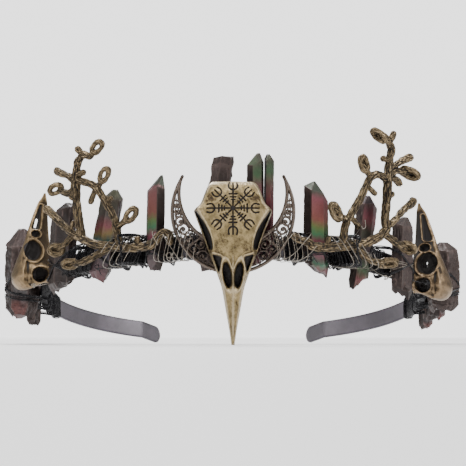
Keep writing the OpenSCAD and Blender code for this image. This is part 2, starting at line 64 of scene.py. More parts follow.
# Angle from the front to the bend ahead of each tab, length of a tab, how far it turns outwards, and
# the radius of its round end
BAND_REACH, TAB_LEN, TAB_TURN = 148.0, 13.0, 31.0
TAB_END_R = BAND_W / 2 - 0.05
# Gap between the band and its wire, how thick the wire lies, radius of a binding and space round it
SLEEVE_GAP, SLEEVE_T, BUNDLE_R, WIRE_GAP = 0.12, 0.7, 0.5, 0.35
# How far the middle of a binding strand lies off the sleeve
SNUG = 0.3
# Angle in degrees over which an edge of a wire is drawn sharp
WIRE_CREASE = 80
# Distance from the upright axis to the inner side of the quartz
CRYSTAL_IN_R = BAND_R + SLEEVE_GAP + SLEEVE_T + 0.2
# How far back the middle of a tab's round end lies in the plane of the band, the sine of the tab's
# heading, and the height of the middle of the ring, with its tabs on the floor
TAB_MID_Y = -BAND_R * math.cos(math.radians(BAND_REACH)) \
    + (TAB_LEN - TAB_END_R) * math.sin(math.radians(BAND_REACH - TAB_TURN))
TAB_SINE = math.sin(math.radians(BAND_REACH - TAB_TURN))
RING_Z = TAB_MID_Y * math.sin(BAND_TILT) + 0.05 \
    + TAB_END_R * math.hypot(math.cos(BAND_TILT), math.sin(BAND_TILT) * TAB_SINE)

# The moon: radius of its outer and its inner edge, how far the centre of the inner one lies above
# the other, width of a rim and thickness
MOON_R, MOON_BITE_R, MOON_BITE_UP, MOON_RIM, MOON_T = 19.0, 15.9, 5.9, 1.1, 1.3
# Distance of its back from the upright axis and height of its centre
MOON_Y, MOON_Z = 72.7, 40.4
# Heights over the moon's centre where the rims of a horn run together and where the horn ends
HORN_FOOT, HORN_TOP = 7.2, 11.2
# The centre skull stands in front of the moon. Height, width, depth and wall of it, and height, depth
# and wall of a side skull
SKULL_BACK_Y = MOON_Y + MOON_T + 0.35
SKULL_H, SKULL_W, SKULL_D, SKULL_WALL = 48.8, 24.4, 11.0, 1.3
SIDE_H, SIDE_D, SIDE_WALL = 31.6, 11.4, 1.6
# How far the centre skull's rims stand proud of its brow
RIM_RISE = 0.13
# The stave: height of its middle and length of an arm
STAVE_Z, STAVE_REACH = 40.6, 7.7
# How deep the stave, the eye and nostril holes and the troughs beside the brow are cut
STAVE_CUT, HOLE_CUT, TROUGH_CUT = 0.4, 2.8, 2.6
# How dark the lid and the inside of the centre skull are; the inside's darkness is painted shade
LID_DARK, INSIDE_DARK = 0.3, 0.75

# The crown stands with the middle of its footprint over the origin
CENTRE_Y = (SKULL_BACK_Y + SKULL_D + 0.3
            - (TAB_MID_Y + TAB_END_R * TAB_SINE) * math.cos(BAND_TILT)) / 2

# Distance of the twigs from the upright axis, and how much further out their eyelets lie
TWIG_R, EYE_OUT = 76.4, 0.35
# Size of the grid on which a twig's branches melt together
MELT = 0.19
# The bark's noise: radius of the circle it runs on round a branch, and how far the places along the
# branch are drawn together for its furrows and for its colours
BARK_R, BARK_RUN, BARK_STRETCH = 1.4, 0.18, 0.3

# Rows from the beak tip to the crown of a skull 48.8 high, 24.4 wide and 11 deep.
# Columns: height, half width, half width of the brow, depth of the side, depth of the brow,
# depth of the middle, pinch of the side between the two edges
SKULL = np.array([
    [0, 0.5, 0.35, 0.4, 0.9, 1.2, 0.5],
    [4.6, 1.15, 0.8, 1.0, 2.1, 2.8, 0.5],
    [11, 2.35, 1.7, 1.5, 3.6, 4.7, 0.5],
    [17, 3.3, 2.6, 1.8, 4.8, 6, 0.5],
    [21.2, 4.8, 3.6, 2, 5.4, 6.7, 0.5],
    [25, 6.2, 4.9, 2.2, 5.9, 7.4, 0.6],
    [27.8, 7.4, 6.6, 2.5, 6.3, 8.2, 0.8],
    [29.3, 7.9, 6, 2.3, 6.9, 8.6, 1.05],
    [32.8, 9.2, 6.8, 2.3, 7.9, 9.4, 1.15],
    [36, 10.4, 8.3, 2.5, 8.7, 10.1, 1.1],
    [39.2, 11.6, 10.4, 2.9, 9.3, 10.7, 0.8],
    [40.7, 12.2, 11.3, 3.1, 9.3, 10.9, 0.6],
    [42, 10, 9.4, 3.1, 9.2, 11, 0.5],
    [44.8, 9, 8.5, 2.9, 8.8, 10.8, 0.5],
    [47.6, 8, 7.3, 2.5, 7.4, 9.4, 0.5],
    [48.8, 7, 6, 1.9, 5.6, 7.2, 0.5],
])
# Last of the points of a cross-section, which are counted from the left rear edge
LAST_COL = 14

# The side skulls, measured up from the beak on the flank of a skull of that table. Columns: angle
# from the front, height of the foot, holes right through (low end, high end, radius), how dark the
# bone is, window and orbit (centre and half sizes, in depth and height), tint of the bronze
SIDE_SKULLS = {
    "left": [-66, 17.4, [((3.3, 12.4), (3.9, 15.9), 0.6)], 0.55,
             ((4.2, 19.6), (1.35, 1.8)), ((5.5, 28.2), (2.75, 5.2)), (0.92, 0.86, 0.98)],
    "right": [64, 13.9, [((3.2, 29.0), (3.4, 31.0), 0.9), ((2.9, 40.8), (3.0, 41.8), 0.7)], 0.8,
              ((3.4, 21.6), (1.5, 2.0)), ((4.5, 29.6), (3.2, 5.5)), (0.84, 0.78, 0.95)],
}

# Scrolls of the moon, mirrored to its other half. Columns: angle from the bottom, radius as a share
# of the field's width, side of the field (1 outer, -1 inner, 0 middle), hand, start angle
SCROLLS = [
    [6.5, 0.29, 1, 1, 20], [20, 0.29, 1, -1, 70], [33.5, 0.29, 1, 1, 20], [46, 0.3, 1, -1, 70],
    [0, 0.28, -1, 1, 200], [15, 0.28, -1, -1, 160], [30.5, 0.29, -1, 1, 210], [44, 0.31, -1, -1, 150],
    [56.5, 0.36, 1, 1, 0], [61, 0.34, -1, -1, 180], [70, 0.5, 0, 1, 25], [79, 0.52, 0, -1, 160],
    [87.5, 0.52, 0, 1, 40], [95.5, 0.5, 0, -1, 150],
]
SCROLL_TURNS = 1.3
# Angles from the bottom of the bars that cross the moon's field
MOON_BARS = (51.5, 101)

# Branches of the twigs. Columns of each row: angle, height, radius of the branch
TWIG_LEFT = [
    [[-38.2, 34, 1.3], [-39.2, 39.5, 1.35], [-39.9, 44.6, 1.3], [-40.2, 50, 1.5], [-39.9, 54, 1.25],
     [-39.4, 57.3, 1.2], [-37.7, 59.3, 1.2], [-35.8, 58.6, 1], [-34.6, 59.8, 0.8]],
    [[-40.2, 50.8, 1.1], [-42.4, 52.8, 1], [-44.6, 53.8, 1.1], [-47, 55, 1.25]],
    [[-40.1, 49.4, 1.1], [-42.6, 47.6, 1.1], [-45.6, 48.6, 0.9]],
    [[-40.1, 51.4, 1.2], [-36.6, 50.4, 1.1], [-33.8, 48.6, 1.15], [-31.1, 44.3, 1.1],
     [-28.6, 38.9, 1.1], [-27.7, 34.7, 1.15], [-27, 30.6, 1.2]],
    [[-33.8, 48.4, 1], [-32.2, 50.5, 0.8]],
    [[-27.7, 36, 1], [-25.1, 38.4, 0.85]],
    [[-50, 42.5, 1.3], [-46.2, 39, 1.1], [-41.6, 35.2, 1.15], [-37.5, 32.7, 1.3], [-33, 30.8, 1.3],
     [-27, 30, 1.45], [-24.1, 29.6, 1.3], [-19.8, 30.1, 1.35], [-18.2, 31.2, 1.2],
     [-17.2, 33, 1.1], [-15.7, 34.2, 1.1], [-14.5, 33, 1.05], [-14.5, 31, 1]],
    [[-41, 34.6, 1], [-43.4, 32, 0.9], [-46.3, 30.3, 0.85]],
    [[-29, 30, 1], [-33.6, 27.6, 1], [-37.4, 25.8, 1], [-40.3, 25.3, 0.9]],
]
TWIG_RIGHT = [
    [[39, 36, 1.3], [38.4, 38.5, 1.3], [39, 45.3, 1.3], [39.4, 51.5, 1.5], [39.6, 54.6, 1.3],
     [40, 57.8, 1.2], [40.6, 61.6, 1.25], [39.2, 64.2, 1.15], [36.8, 66, 0.95]],
    [[39.6, 55, 1.1], [42, 56.4, 1], [44.2, 57.8, 1.05], [46.4, 59, 1.2]],
    [[39.5, 52.6, 1.1], [42.4, 54.6, 1], [45.7, 54.5, 0.95]],
    [[39.4, 51.6, 1.1], [41.4, 52.2, 1.05], [43.4, 50.8, 1.1]],
    [[39.3, 51.4, 1.2], [36.2, 53, 1.1], [34, 51.8, 1.15], [32.8, 49.4, 1.15], [31.2, 45.6, 1.1],
     [28.6, 40.6, 1.1], [26.9, 36.7, 1.2], [26.4, 32.9, 1.2], [26.2, 30.6, 1.2]],
    [[34, 52.2, 1], [31.8, 55.2, 0.9]],
    [[27.4, 37.6, 1], [24.2, 41, 0.9]],
    [[38.7, 36.6, 1.1], [41.2, 38.6, 1], [44.4, 42, 1.05], [47.8, 44.8, 1.2]],
    [[14, 32.8, 1], [15.4, 31.9, 1.1], [17.4, 31.1, 1.2], [18.6, 30, 1.3], [22.5, 29.7, 1.35],
     [26.7, 30.4, 1.45], [31.4, 31.1, 1.35], [36.3, 33.3, 1.35], [38.8, 36, 1.35]],
    [[38, 34.6, 1.1], [41.6, 32.2, 1.1], [45.2, 30.7, 0.95]],
    [[29, 30.4, 1.1], [31.4, 28, 1.05], [34, 26, 1], [37.2, 25.6, 0.95]],
]
# Eyelets of the twigs. Columns: angle, height, half length and half width outside, lean of the long
# axis, tip about it, 1 for a cup with a floor
EYES_LEFT = [
    [-33.4, 61.2, 2.66, 1.72, 48, 0, 0], [-47.3, 49.2, 2.7, 1.85, 22, 0, 0],
    [-31.3, 52.4, 2.85, 1.65, 66, 0, 0], [-24.0, 39.7, 2.9, 1.75, 55, 0, 0],
    [-46.8, 29.9, 2.9, 2.05, 4, 20, 1], [-41.8, 25.2, 2.7, 1.8, 6, 35, 1],
]
EYES_RIGHT = [
    [36.3, 65.1, 3.0, 1.7, -38, 50, 1], [47.0, 54.2, 3.6, 1.9, -20, 35, 1],
    [31.9, 55.9, 2.9, 1.85, 105, 20, 1], [24.2, 40.6, 3.2, 1.85, 115, 15, 1],
    [46.2, 30.5, 3.0, 1.95, -24, 35, 1], [39.1, 25.4, 3.2, 1.8, 3, 40, 1],
    [47.7, 44.7, 2.0, 1.25, 48, 20, 1],
]
# Short buds of the twigs. Columns: angle, height, angle of the tip, height of the tip, radius
BUDS_LEFT = [
    [-38, 59.2, -39.4, 61.2, 1], [-39.8, 53, -37.6, 53.7, 1], [-34, 48, -35.2, 44.4, 0.9],
    [-40, 45, -41.4, 46.2, 0.9], [-42, 35.6, -40.6, 38, 0.9], [-30.6, 43.6, -29.4, 45, 0.8],
    [-22, 29.8, -22.4, 32.2, 0.9], [-49.8, 42.4, -50.6, 43, 1.35],
]
BUDS_RIGHT = [
    [40.2, 63.4, 41.2, 66.2, 1], [39.9, 57.6, 37.8, 58, 1], [33, 49, 35, 47, 0.9],
    [39, 46, 40.6, 47, 0.9], [28, 39.6, 30.2, 36.4, 0.9], [47.6, 44.6, 48.3, 45.4, 1.35],
    [22, 29.8, 22.3, 32.1, 0.9], [46.2, 58.9, 47, 59.3, 1.3],
]

# Quartz points. Columns: angle, foot, shoulder, tip, width, depth, lean of the top to the right,
# place of the tip from left to right, width of the tip as a share, gap ahead of the sleeve
CRYSTALS = {
    "left_rear": [-93, 5.5, 20, 25, 7, 5.6, 0, 0.2, 0.2, 0.3],
    "left_outer": [-80.5, 8, 33.5, 39.6, 9, 11.6, 1, -0.2, 0.25, 0.2],
    "left_wide": [-52, 15.4, 42.6, 45.6, 12.4, 5.6, 2.2, 0.3, 0.2, 0],
    "left_leaning": [-35.2, 18.8, 45.2, 48.6, 8.4, 5.2, 6, 0.2, 0.3, 0],
    "left_tall": [-20.1, 22.2, 47.6, 52.4, 6.2, 5.2, 0.4, 0.7, 0.15, 0],
    "back_left": [-4.4, 22, 55, 58, 7, 4.5, 4.9, 0, 0.85, 0],
    "back_right": [5.6, 23.5, 55.4, 59, 5.5, 4.5, 0.2, 0.5, 0.25, 0],
    "back_slim": [9.1, 25, 56.8, 58.8, 2.9, 4.4, 0.5, -0.3, 0.4, 0],
    "right_tall": [21.6, 20, 46.6, 50.6, 8.2, 5.2, 0.2, -0.2, 0.15, 0],
    "right_leaning": [35.9, 16.2, 43.8, 47, 7.1, 5.2, 4.4, 0, 0.3, 0],
    "right_wide": [51.3, 13.6, 37.6, 41.2, 11, 5.6, 1, 0.4, 0.25, 0],
    "right_outer": [79.5, 10, 31, 34.6, 9, 11.2, -1, -0.1, 0.3, 0.2],
    "right_rear": [91.5, 7.4, 20.4, 24, 7, 7, 0, 0, 0.3, 0.3],
    "right_last": [100.5, 4.6, 17.4, 20.4, 6.4, 5, 0.6, -0.3, 0.3, 0.3],
}
# How each point looks. Columns: roughness of its faces from 0 to 1, coating, the faces that show its bands,
# painted as lit, while its other faces are painted in shade (3 and 4 look outwards), place of the foot from
# left to right, degrees that the section is turned, how much lower the shoulder is on its right, how much the
# foot is cut back on its left (below 0 on its right)
CRYSTAL_LOOKS = {
    "left_rear": [0.7, "plum", (), 0, 0, 0.5, 0],
    "left_outer": [0.9, "rust", (3, 5), 0.4, 0, 0.8, 0],
    "left_wide": [1.0, "plum", (), 0.3, 8, -1.5, -3.2],
    "left_leaning": [0.4, "sunset", (3, 4), 0.2, 18, 0.4, 1.2],
    "left_tall": [0.15, "ember", (2, 3), 0, 40, -0.6, 0.5],
    "back_left": [0.8, "plum", (), 0, 0, 0, 0],
    "back_right": [0.1, "moss", (3, 4), 0, 50, -0.8, 0],
    "back_slim": [0.1, "moss", (3, 4), 0, 20, 0, 0],
    "right_tall": [0.15, "aurora", (3, 4), 0.6, 33, 2.0, 3.6],
    "right_leaning": [0.4, "wine", (3, 4), -0.5, 22, 0.5, -3.2],
    "right_wide": [1.0, "plum", (), 0.1, 30, 1.0, 4.2],
    "right_outer": [1.0, "plum", (), -0.3, 0, 0.6, 0],
    "right_rear": [0.7, "rust", (3, 4), 0.2, 0, 0, 0],
    "right_last": [0.8, "rust", (2, 3, 4), 0, 0, 0, 0],
}
# Points that nothing ties: those behind the centre skull and the last one on the right
UNBOUND = ("back_left", "back_right", "back_slim", "right_last")
# Bands of the coatings, from foot to tip
COATINGS = {
    "plum": [(0.0, (0.085, 0.05, 0.05)), (0.5, (0.1, 0.06, 0.06)), (1.0, (0.12, 0.075, 0.08))],
    "rust": [(0.0, (0.13, 0.05, 0.045)), (0.14, (0.12, 0.05, 0.045)), (0.26, (0.085, 0.08, 0.082)),
             (0.42, (0.1, 0.08, 0.07)), (0.6, (0.06, 0.042, 0.038)), (1.0, (0.045, 0.03, 0.028))],
    "wine": [(0.0, (0.10, 0.075, 0.05)), (0.12, (0.14, 0.04, 0.045)), (0.24, (0.07, 0.11, 0.06)),
             (0.4, (0.035, 0.022, 0.026)), (0.6, (0.05, 0.05, 0.035)), (0.76, (0.15, 0.04, 0.05)),
             (0.9, (0.03, 0.02, 0.024))],
    "ember": [(0.0, (0.08, 0.06, 0.06)), (0.26, (0.07, 0.05, 0.055)), (0.38, (0.22, 0.06, 0.085)),
              (0.45, (0.05, 0.15, 0.075)), (0.52, (0.09, 0.15, 0.05)), (0.6, (0.19, 0.07, 0.055)),
              (0.84, (0.15, 0.055, 0.06)), (0.9, (0.042, 0.05, 0.036))],
    "aurora": [(0.0, (0.09, 0.05, 0.05)), (0.08, (0.16, 0.06, 0.07)), (0.15, (0.05, 0.13, 0.08)),
               (0.22, (0.17, 0.07, 0.085)), (0.3, (0.05, 0.1, 0.1)), (0.38, (0.22, 0.06, 0.085)),
               (0.46, (0.055, 0.18, 0.08)), (0.53, (0.13, 0.19, 0.055)), (0.62, (0.27, 0.09, 0.07)),
               (0.82, (0.23, 0.07, 0.085)), (0.9, (0.042, 0.05, 0.036))],
    "sunset": [(0.0, (0.12, 0.05, 0.055)), (0.2, (0.07, 0.05, 0.055)), (0.34, (0.04, 0.042, 0.062)),
               (0.46, (0.05, 0.1, 0.085)), (0.52, (0.17, 0.12, 0.04)), (0.59, (0.17, 0.05, 0.055)),
               (0.7, (0.06, 0.052, 0.045)), (1.0, (0.075, 0.078, 0.05))],
    "moss": [(0.0, (0.1, 0.04, 0.045)), (0.55, (0.17, 0.045, 0.06)), (0.68, (0.15, 0.075, 0.07)),
             (0.8, (0.06, 0.115, 0.055)), (1.0, (0.06, 0.05, 0.04))],
}
# Colours of patina with painted shade, and of deep hollows painted near black as shade, and the strip's mauve
# clouds and dark edges
SKULL_HOLLOW, BARK_PATINA_AND_SHADE = (0.012, 0.009, 0.008), (0.012, 0.009, 0.007)
MOON_PATINA_AND_SHADE, MOON_HOLLOW = (0.01, 0.008, 0.007), (0.004, 0.0035, 0.003)
STRIP_CLOUD, STRIP_RIM = (0.26, 0.225, 0.265), (0.05, 0.045, 0.058)

# Angles of the ties on the twigs, and first and last angle of each wound sleeve
TWIG_TIES = {"left_twig": -25.6, "right_twig": 28.9}
SLEEVES = {"left": (-106, -13.5), "front": (-13, 13), "right": (13.5, 106)}
# Wire wound round the band and what lies on it. Columns: name, first and last angle, nearest and
# furthest from the axis, lowest and highest over the band's middle, turns, slant in degrees, pale
WINDINGS = [
    ["moon_left", -18.4, -8.4, 64.4, 78.6, -4.5, 4.6, 9, 0.5, True],
    ["moon_left_cross", -17.0, -11.5, 64.6, 78.9, -4.2, 4.8, 2, -2.6, True],
    ["moon_right", 8.4, 16.4, 64.4, 78.4, -4.5, 4.6, 8, -0.5, True],
    ["moon_right_cross", 11.0, 19.0, 64.6, 78.6, -4.3, 4.8, 2, 2.6, True],
    ["twig_left", -30.8, -23.4, 64.4, 78.6, -4.7, 4.1, 4, 1.9, True],
    ["twig_right", 24.6, 33.4, 64.4, 78.7, -4.7, 4.2, 5, -2.2, True],
    ["back", -12.4, 12.6, 64.2, 72.1, -4.2, 4.3, 27, 0.5, False],
    ["mass_left", -31.4, -22.6, 64.2, 72.0, -4.4, 4.9, 9, 1.6, False],
    ["mass_outer_left", -49.0, -37.5, 64.2, 71.8, -4.3, 5.3, 27, 1.2, False],
    ["mass_right", 25.4, 33.0, 64.2, 71.6, -4.4, 4.9, 8, -1.6, False],
    ["gap_left", -31.6, -25.0, 64.0, 67.1, -4.15, 4.15, 7, 0.9, False],
    ["gap_right", 26.4, 31.6, 64.0, 67.1, -4.15, 4.15, 6, -0.8, False],
    ["outer_left", -48.0, -40.2, 64.0, 67.1, -4.15, 4.15, 8, -1.1, False],
    ["outer_right", 40.8, 47.0, 64.0, 67.1, -4.15, 4.15, 8, 1.0, False],
    ["rear_left", -104.5, -97.5, 64.0, 67.1, -4.15, 4.15, 8, 0.6, False],
    ["rear_right", 104.4, 106.4, 64.0, 67.1, -4.15, 4.15, 4, 0.4, False],
    ["skull_left", -73.8, -56.5, 64.0, 67.1, -4.15, 4.15, 9, 1.6, False],
    ["skull_right", 55.5, 72.8, 64.0, 67.1, -4.15, 4.15, 9, -1.6, False],
]
# Rings of wire laid round quartz. Columns: point, height, half width, half height, nearest and
# furthest from the axis, turns, pale
RINGS = [
    ["left_tall", 27.6, 3.6, 0.7, 66.9, 73.0, 4, False],
    ["right_tall", 27.6, 4.6, 0.7, 66.9, 73.0, 4, False],
    ["left_leaning", 30.4, 5.2, 0.5, 66.9, 73.0, 5, False],
    ["right_leaning", 27.4, 4.4, 0.9, 66.9, 73.0, 4, True],
    ["left_wide", 24.4, 7.0, 0.8, 66.9, 73.4, 4, False],
    ["right_wide", 24.2, 6.4, 1.3, 66.9, 73.4, 4, True],
    ["left_outer", 15.8, 5.4, 0.9, 66.9, 80.4, 4, False],
    ["right_outer", 17.4, 5.4, 0.9, 66.9, 80.0, 4, False],
]
# Stray ends. Columns: angle, distance from the axis, height, size, turns, heading of the tail
CURLS = [
    [-28.4, 77.6, 25.0, 0.75, 1.6, 200],
    [-14.0, 79.4, 27.0, 1.1, 1.4, 250],
    [-33.5, 76.0, 24.0, 1.0, 1.2, 300],
    [38.4, 76.6, 20.9, 0.8, 1.7, 20],
    [17.4, 79.2, 26.2, 1.0, 1.3, 300],
    [30.5, 78.6, 36.2, 0.9, 0.6, 100],
    [55.4, 76.0, 20.0, 0.9, 1.5, 340],
    [-57.5, 76.5, 19.0, 0.9, 1.5, 230],
    [-8.8, 79.0, 33.0, 0.8, 1.2, 160],
]

# Lamps. Columns: name, place and size in metres, power in watts; all look at one place
LAMPS = [
    ("key", (-0.8, -0.55, 0.85), 0.35, 9.0), ("fill", (0.95, -0.4, 0.6), 0.35, 7.0),
    ("top", (0.1, 0.05, 1.1), 0.5, 9.0), ("back", (-0.2, 1.0, 0.7), 0.5, 9.0),
]
LAMP_AIM = (0.0, -0.03, 0.03)
# The photo's width, its focal length and how far the camera looks up, in pixels
FRAME_PX, FOCAL_PX, PITCH_PX = 466.0, 1583.0, 102.0
# Strength of the floor's glow far away, where it meets the backdrop
SURROUND = 2.6


# Numbers and curves

def unit(v):
    """v scaled to length 1 along its last axis."""
    return v / np.maximum(np.linalg.norm(v, axis=-1, keepdims=True), 1e-12)


def step(low, high, x):
    """0 below low, 1 above high and a smooth S between: 3 t squared less 2 t cubed."""
    t = np.clip((x - low) / (high - low), 0, 1)
    return t * t * (3 - 2 * t)


def bell(x, middle, width):
    """1 at the middle, falling off as e to the power of minus the squared distance over the width squared."""
    return np.exp(-((x - middle) / width) ** 2)


def plateau(x, low, full, fading, gone):
    """1 from full to fading, 0 below low and above gone, and a smooth S between."""
    return step(low, full, x) * (1 - step(fading, gone, x))


def ripples(points, size, seed, waves=12):
    """Soft seeded noise of about -1 to 1: the sum of sine waves of about that size in random directions."""
    rng = np.random.default_rng(seed)
    pushes = unit(rng.normal(size=(waves, 3))) * rng.uniform(0.7, 1.5, (waves, 1)) * 2 * math.pi / size
    return np.sin(points @ pushes.T + rng.uniform(0, 2 * math.pi, waves)).sum(-1) / math.sqrt(waves)


def boxy(wave, power):
    """A cosine or sine to a power below 1, with its sign kept: it turns a circle into a rounded box."""
    return np.sign(wave) * np.abs(wave) ** power


def stretches(bounds, counts):
    """Numbers from the first bound to the last. Each stretch between two bounds is cut evenly into
    its count of steps; the last one ends on its bound."""
    parts = [np.linspace(a, b, n, endpoint=False) for a, b, n in zip(bounds, bounds[1:-1], counts)]
    return np.concatenate(parts + [np.linspace(bounds[-2], bounds[-1], counts[-1])])


def around(angle, radius, height):
    """Point at an angle from the front, a distance from the upright axis and a height."""
    angle = np.radians(angle)
    return np.stack(np.broadcast_arrays(
        radius * np.sin(angle), CENTRE_Y - radius * np.cos(angle), height), -1)


def beside(angle, radius, sideways, height):
    """Point at an angle from the front, moved sideways to the right along the tangent there."""
    turn = math.radians(angle)
    return around(angle, radius, height) + sideways[..., None] * [math.cos(turn), math.sin(turn), 0]


def on_band(points):
    """Points drawn flat round the origin, turned into the leaning plane of the band."""
    x, y, z = np.moveaxis(points, -1, 0)
    c, s = math.cos(BAND_TILT), math.sin(BAND_TILT)
    return np.stack([x, CENTRE_Y + y * c + z * s, RING_Z - y * s + z * c], -1)


def blurred_weights(at, count, blur):
    """Share that each of the numbered table rows has at the places asked for: the straight-line
    shares between two rows, averaged over a bell of that width, which closes up at both ends."""
    spread = np.linspace(-2.4, 2.4, 13)
    share = np.exp(-spread ** 2 / 2)
    room = blur * np.clip(np.minimum(at, count - 1 - at), 0, 1)
    places = np.clip(at[:, None] + spread * room[:, None], 0, count - 1)
    hats = np.clip(1 - np.abs(places[..., None] - np.arange(count)), 0, 1)
    return (hats * (share / share.sum())[:, None]).sum(axis=1)


def spline(points, samples, closed=False):
    """Smooth curve through points: between two of them a cubic whose slope at each is half the
    chord from the point before it to the point after it."""
    points = np.asarray(points, float)
    spans = len(points) - (0 if closed else 1)
    t = np.linspace(0, spans, samples, endpoint=not closed)
    i = np.minimum(t.astype(int), spans - 1)
    f = (t - i)[:, None]
    last = len(points) - 1
    a, b, c, d = (points[k % len(points) if closed else np.clip(k, 0, last)]
                  for k in (i - 1, i, i + 1, i + 2))
    return b + f / 2 * (c - a + f * (2 * a - 5 * b + 4 * c - d + f * (3 * (b - c) + d - a)))


# Skins: vertices, four-sided faces and the polygons that close the ends

def grid_faces(rows, cols, loop_rows=False, loop_cols=True):
    """Faces of a grid, row by row, which may close up on itself along the rows or the columns."""
    i = np.arange(rows if loop_rows else rows - 1)[:, None]
    j = np.arange(cols if loop_cols else cols - 1)[None, :]
    near, far = i * cols, (i + 1) % rows * cols
    return np.stack(np.broadcast_arrays(
        near + j, near + (j + 1) % cols, far + (j + 1) % cols, far + j), -1).reshape(-1, 4)


def skin_of(grid, loop_rows=False):
    """Skin over a grid of rings; the first and the last ring are closed by a polygon."""
    rows, cols = grid.shape[:2]
    ends = [] if loop_rows else [np.arange(cols)[::-1], np.arange(cols) + (rows - 1) * cols]
    return grid.reshape(-1, 3), grid_faces(rows, cols, loop_rows), ends


def joined(skins):
    """Several skins as one."""
    starts = np.cumsum([0] + [len(s[0]) for s in skins])
    return (np.vstack([s[0] for s in skins]),
            np.vstack([s[1] + n for s, n in zip(skins, starts)]),
            [end + n for s, n in zip(skins, starts) for end in s[2]])


def path_frame(path, towards, closed):
    """Side and up directions along a path. The side is the cross product of the path's own direction
    and `towards`, and up is the part of `towards` that is square to the path."""
    along = unit(np.roll(path, -1, 0) - np.roll(path, 1, 0) if closed else np.gradient(path, axis=0))
    side = unit(np.cross(along, np.broadcast_to(towards, path.shape)))
    return side, np.cross(side, along)


def tube(path, radius, sides, towards, closed=False, flat=1.0, relief=None):
    """Skin round a path. A ring's points are path + radius x (cosine x up + flat x sine x side),
    where up is the part of `towards` that is square to the path. Open ends are domed."""
    path = np.asarray(path, float)
    radius = np.broadcast_to(np.asarray(radius, float), len(path))
    towards = np.broadcast_to(np.asarray(towards, float), path.shape)
    relief = np.zeros((len(path), sides)) if relief is None else relief
    if not closed:
        dome = np.radians([86, 58, 30])
        tips = [unit(path[0] - path[1]), unit(path[-1] - path[-2])]
        path = np.vstack([path[0] + tips[0] * (radius[0] * np.sin(dome))[:, None], path,
                          path[-1] + tips[1] * (radius[-1] * np.sin(dome[::-1]))[:, None]])
        radius = np.concatenate([radius[0] * np.cos(dome), radius, radius[-1] * np.cos(dome[::-1])])
        towards = np.vstack([towards[:1]] * 3 + [towards] + [towards[-1:]] * 3)
        relief = np.vstack([relief[:1] * 0] * 3 + [relief] + [relief[-1:] * 0] * 3)
    side, up = path_frame(path, towards, closed)
    phi = np.linspace(0, 2 * math.pi, sides, endpoint=False)[None, :, None]
    reach = (radius[:, None] + relief)[..., None]
    ring = np.cos(phi) * up[:, None] + flat * np.sin(phi) * side[:, None]
    return skin_of(path[:, None] + reach * ring, closed)


def bare_mesh(name, skin):
    """A mesh from a skin in millimetres."""
    points, faces, ends = skin
    mesh = bpy.data.meshes.new(name)
    corners = np.concatenate([faces.ravel(), *ends]).astype(np.int32)
    sizes = np.concatenate([np.full(len(faces), 4), [len(e) for e in ends]]).astype(np.int32)
    mesh.vertices.add(len(points))
    mesh.vertices.foreach_set("co", (points * MM).astype(np.float32).ravel())
    mesh.loops.add(len(corners))
    mesh.loops.foreach_set("vertex_index", corners)
    mesh.polygons.add(len(sizes))
    mesh.polygons.foreach_set("loop_start", np.cumsum(sizes) - sizes)
    mesh.update(calc_edges=True)
    mesh.validate()
    return mesh


def points_of(mesh):
    """A mesh's vertices in millimetres, and their normals."""
    spots, normals = np.zeros((2, 3 * len(mesh.vertices)), np.float32)
    mesh.vertices.foreach_get("co", spots)
    mesh.vertex_normals.foreach_get("vector", normals)
    return spots.reshape(-1, 3).astype(float) / MM, normals.reshape(-1, 3).astype(float)


def move_points(mesh, points):
    """Puts a mesh's vertices at points in millimetres."""
    mesh.vertices.foreach_set("co", (points * MM).astype(np.float32).ravel())
    mesh.update()


def finished_mesh(skin, *modifiers):
    """The mesh of a skin after modifiers, each given as its type and its settings; a setting that
    is itself a skin becomes the object that the modifier works with."""
    spare = [bpy.data.objects.new("blank", bare_mesh("blank", skin))]
    bpy.context.scene.collection.objects.link(spare[0])
    for kind, settings in modifiers:
        modifier = spare[0].modifiers.new(kind, kind)
        for key, value in settings.items():
            if isinstance(value, tuple):
                value = bpy.data.objects.new("tool", bare_mesh("tool", value))
                bpy.context.scene.collection.objects.link(value)
                spare.append(value)
            setattr(modifier, key, value)
    graph = bpy.context.evaluated_depsgraph_get()
    mesh = bpy.data.meshes.new_from_object(spare[0].evaluated_get(graph))
    for blank in spare:
        bpy.data.objects.remove(blank)
    return mesh


def hollowness(mesh, rounds, scale):
    """How hollow a mesh is at each vertex, from -1 on a ridge to 1 in a groove: the height over the
    vertex of its repeatedly averaged neighbours, along the normal, as a share of `scale` millimetres."""
    count = len(mesh.vertices)
    ends = np.zeros(2 * len(mesh.edges), np.int32)
    mesh.edges.foreach_get("vertices", ends)
    here, there = np.concatenate([ends[::2], ends[1::2]]), np.concatenate([ends[1::2], ends[::2]])
    near = np.maximum(np.bincount(here, minlength=count), 1)[:, None]
    spots, normals = points_of(mesh)
    soft = spots
    for _ in range(rounds):
        soft = (soft + np.stack([np.bincount(here, soft[there, k], count) for k in range(3)], -1) / near) / 2
    return np.clip(((soft - spots) * normals).sum(-1) / scale, -1, 1)


def piece(name, mesh, finish, slot, nodes, crease, **values):
    """A finished piece on the crown's body: its mesh, its finish, the nodes that it stands for, the
    angle over which an edge is sharp, and the numbers per vertex that its finish reads."""
    mesh.name = name
    mesh.shade_smooth()
    mesh.set_sharp_from_angle(angle=math.radians(crease))
    for key, numbers in values.items():
        mesh.attributes.new(key, "FLOAT", "POINT").data.foreach_set("value", numbers.astype(np.float32))
    mesh.materials.clear()
    mesh.materials.append(finish)
    made = bpy.data.objects.new(name, mesh)
    bpy.context.scene.collection.objects.link(made)
    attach(made, "root")
    if nodes:
        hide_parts(*nodes)
    return made


# Finishes

def shaded(colour, factor, lift=0.0):
    """A colour times a factor, with a little added to each part and none of them over 1."""
    return tuple(min(1, factor * c + lift) for c in colour)


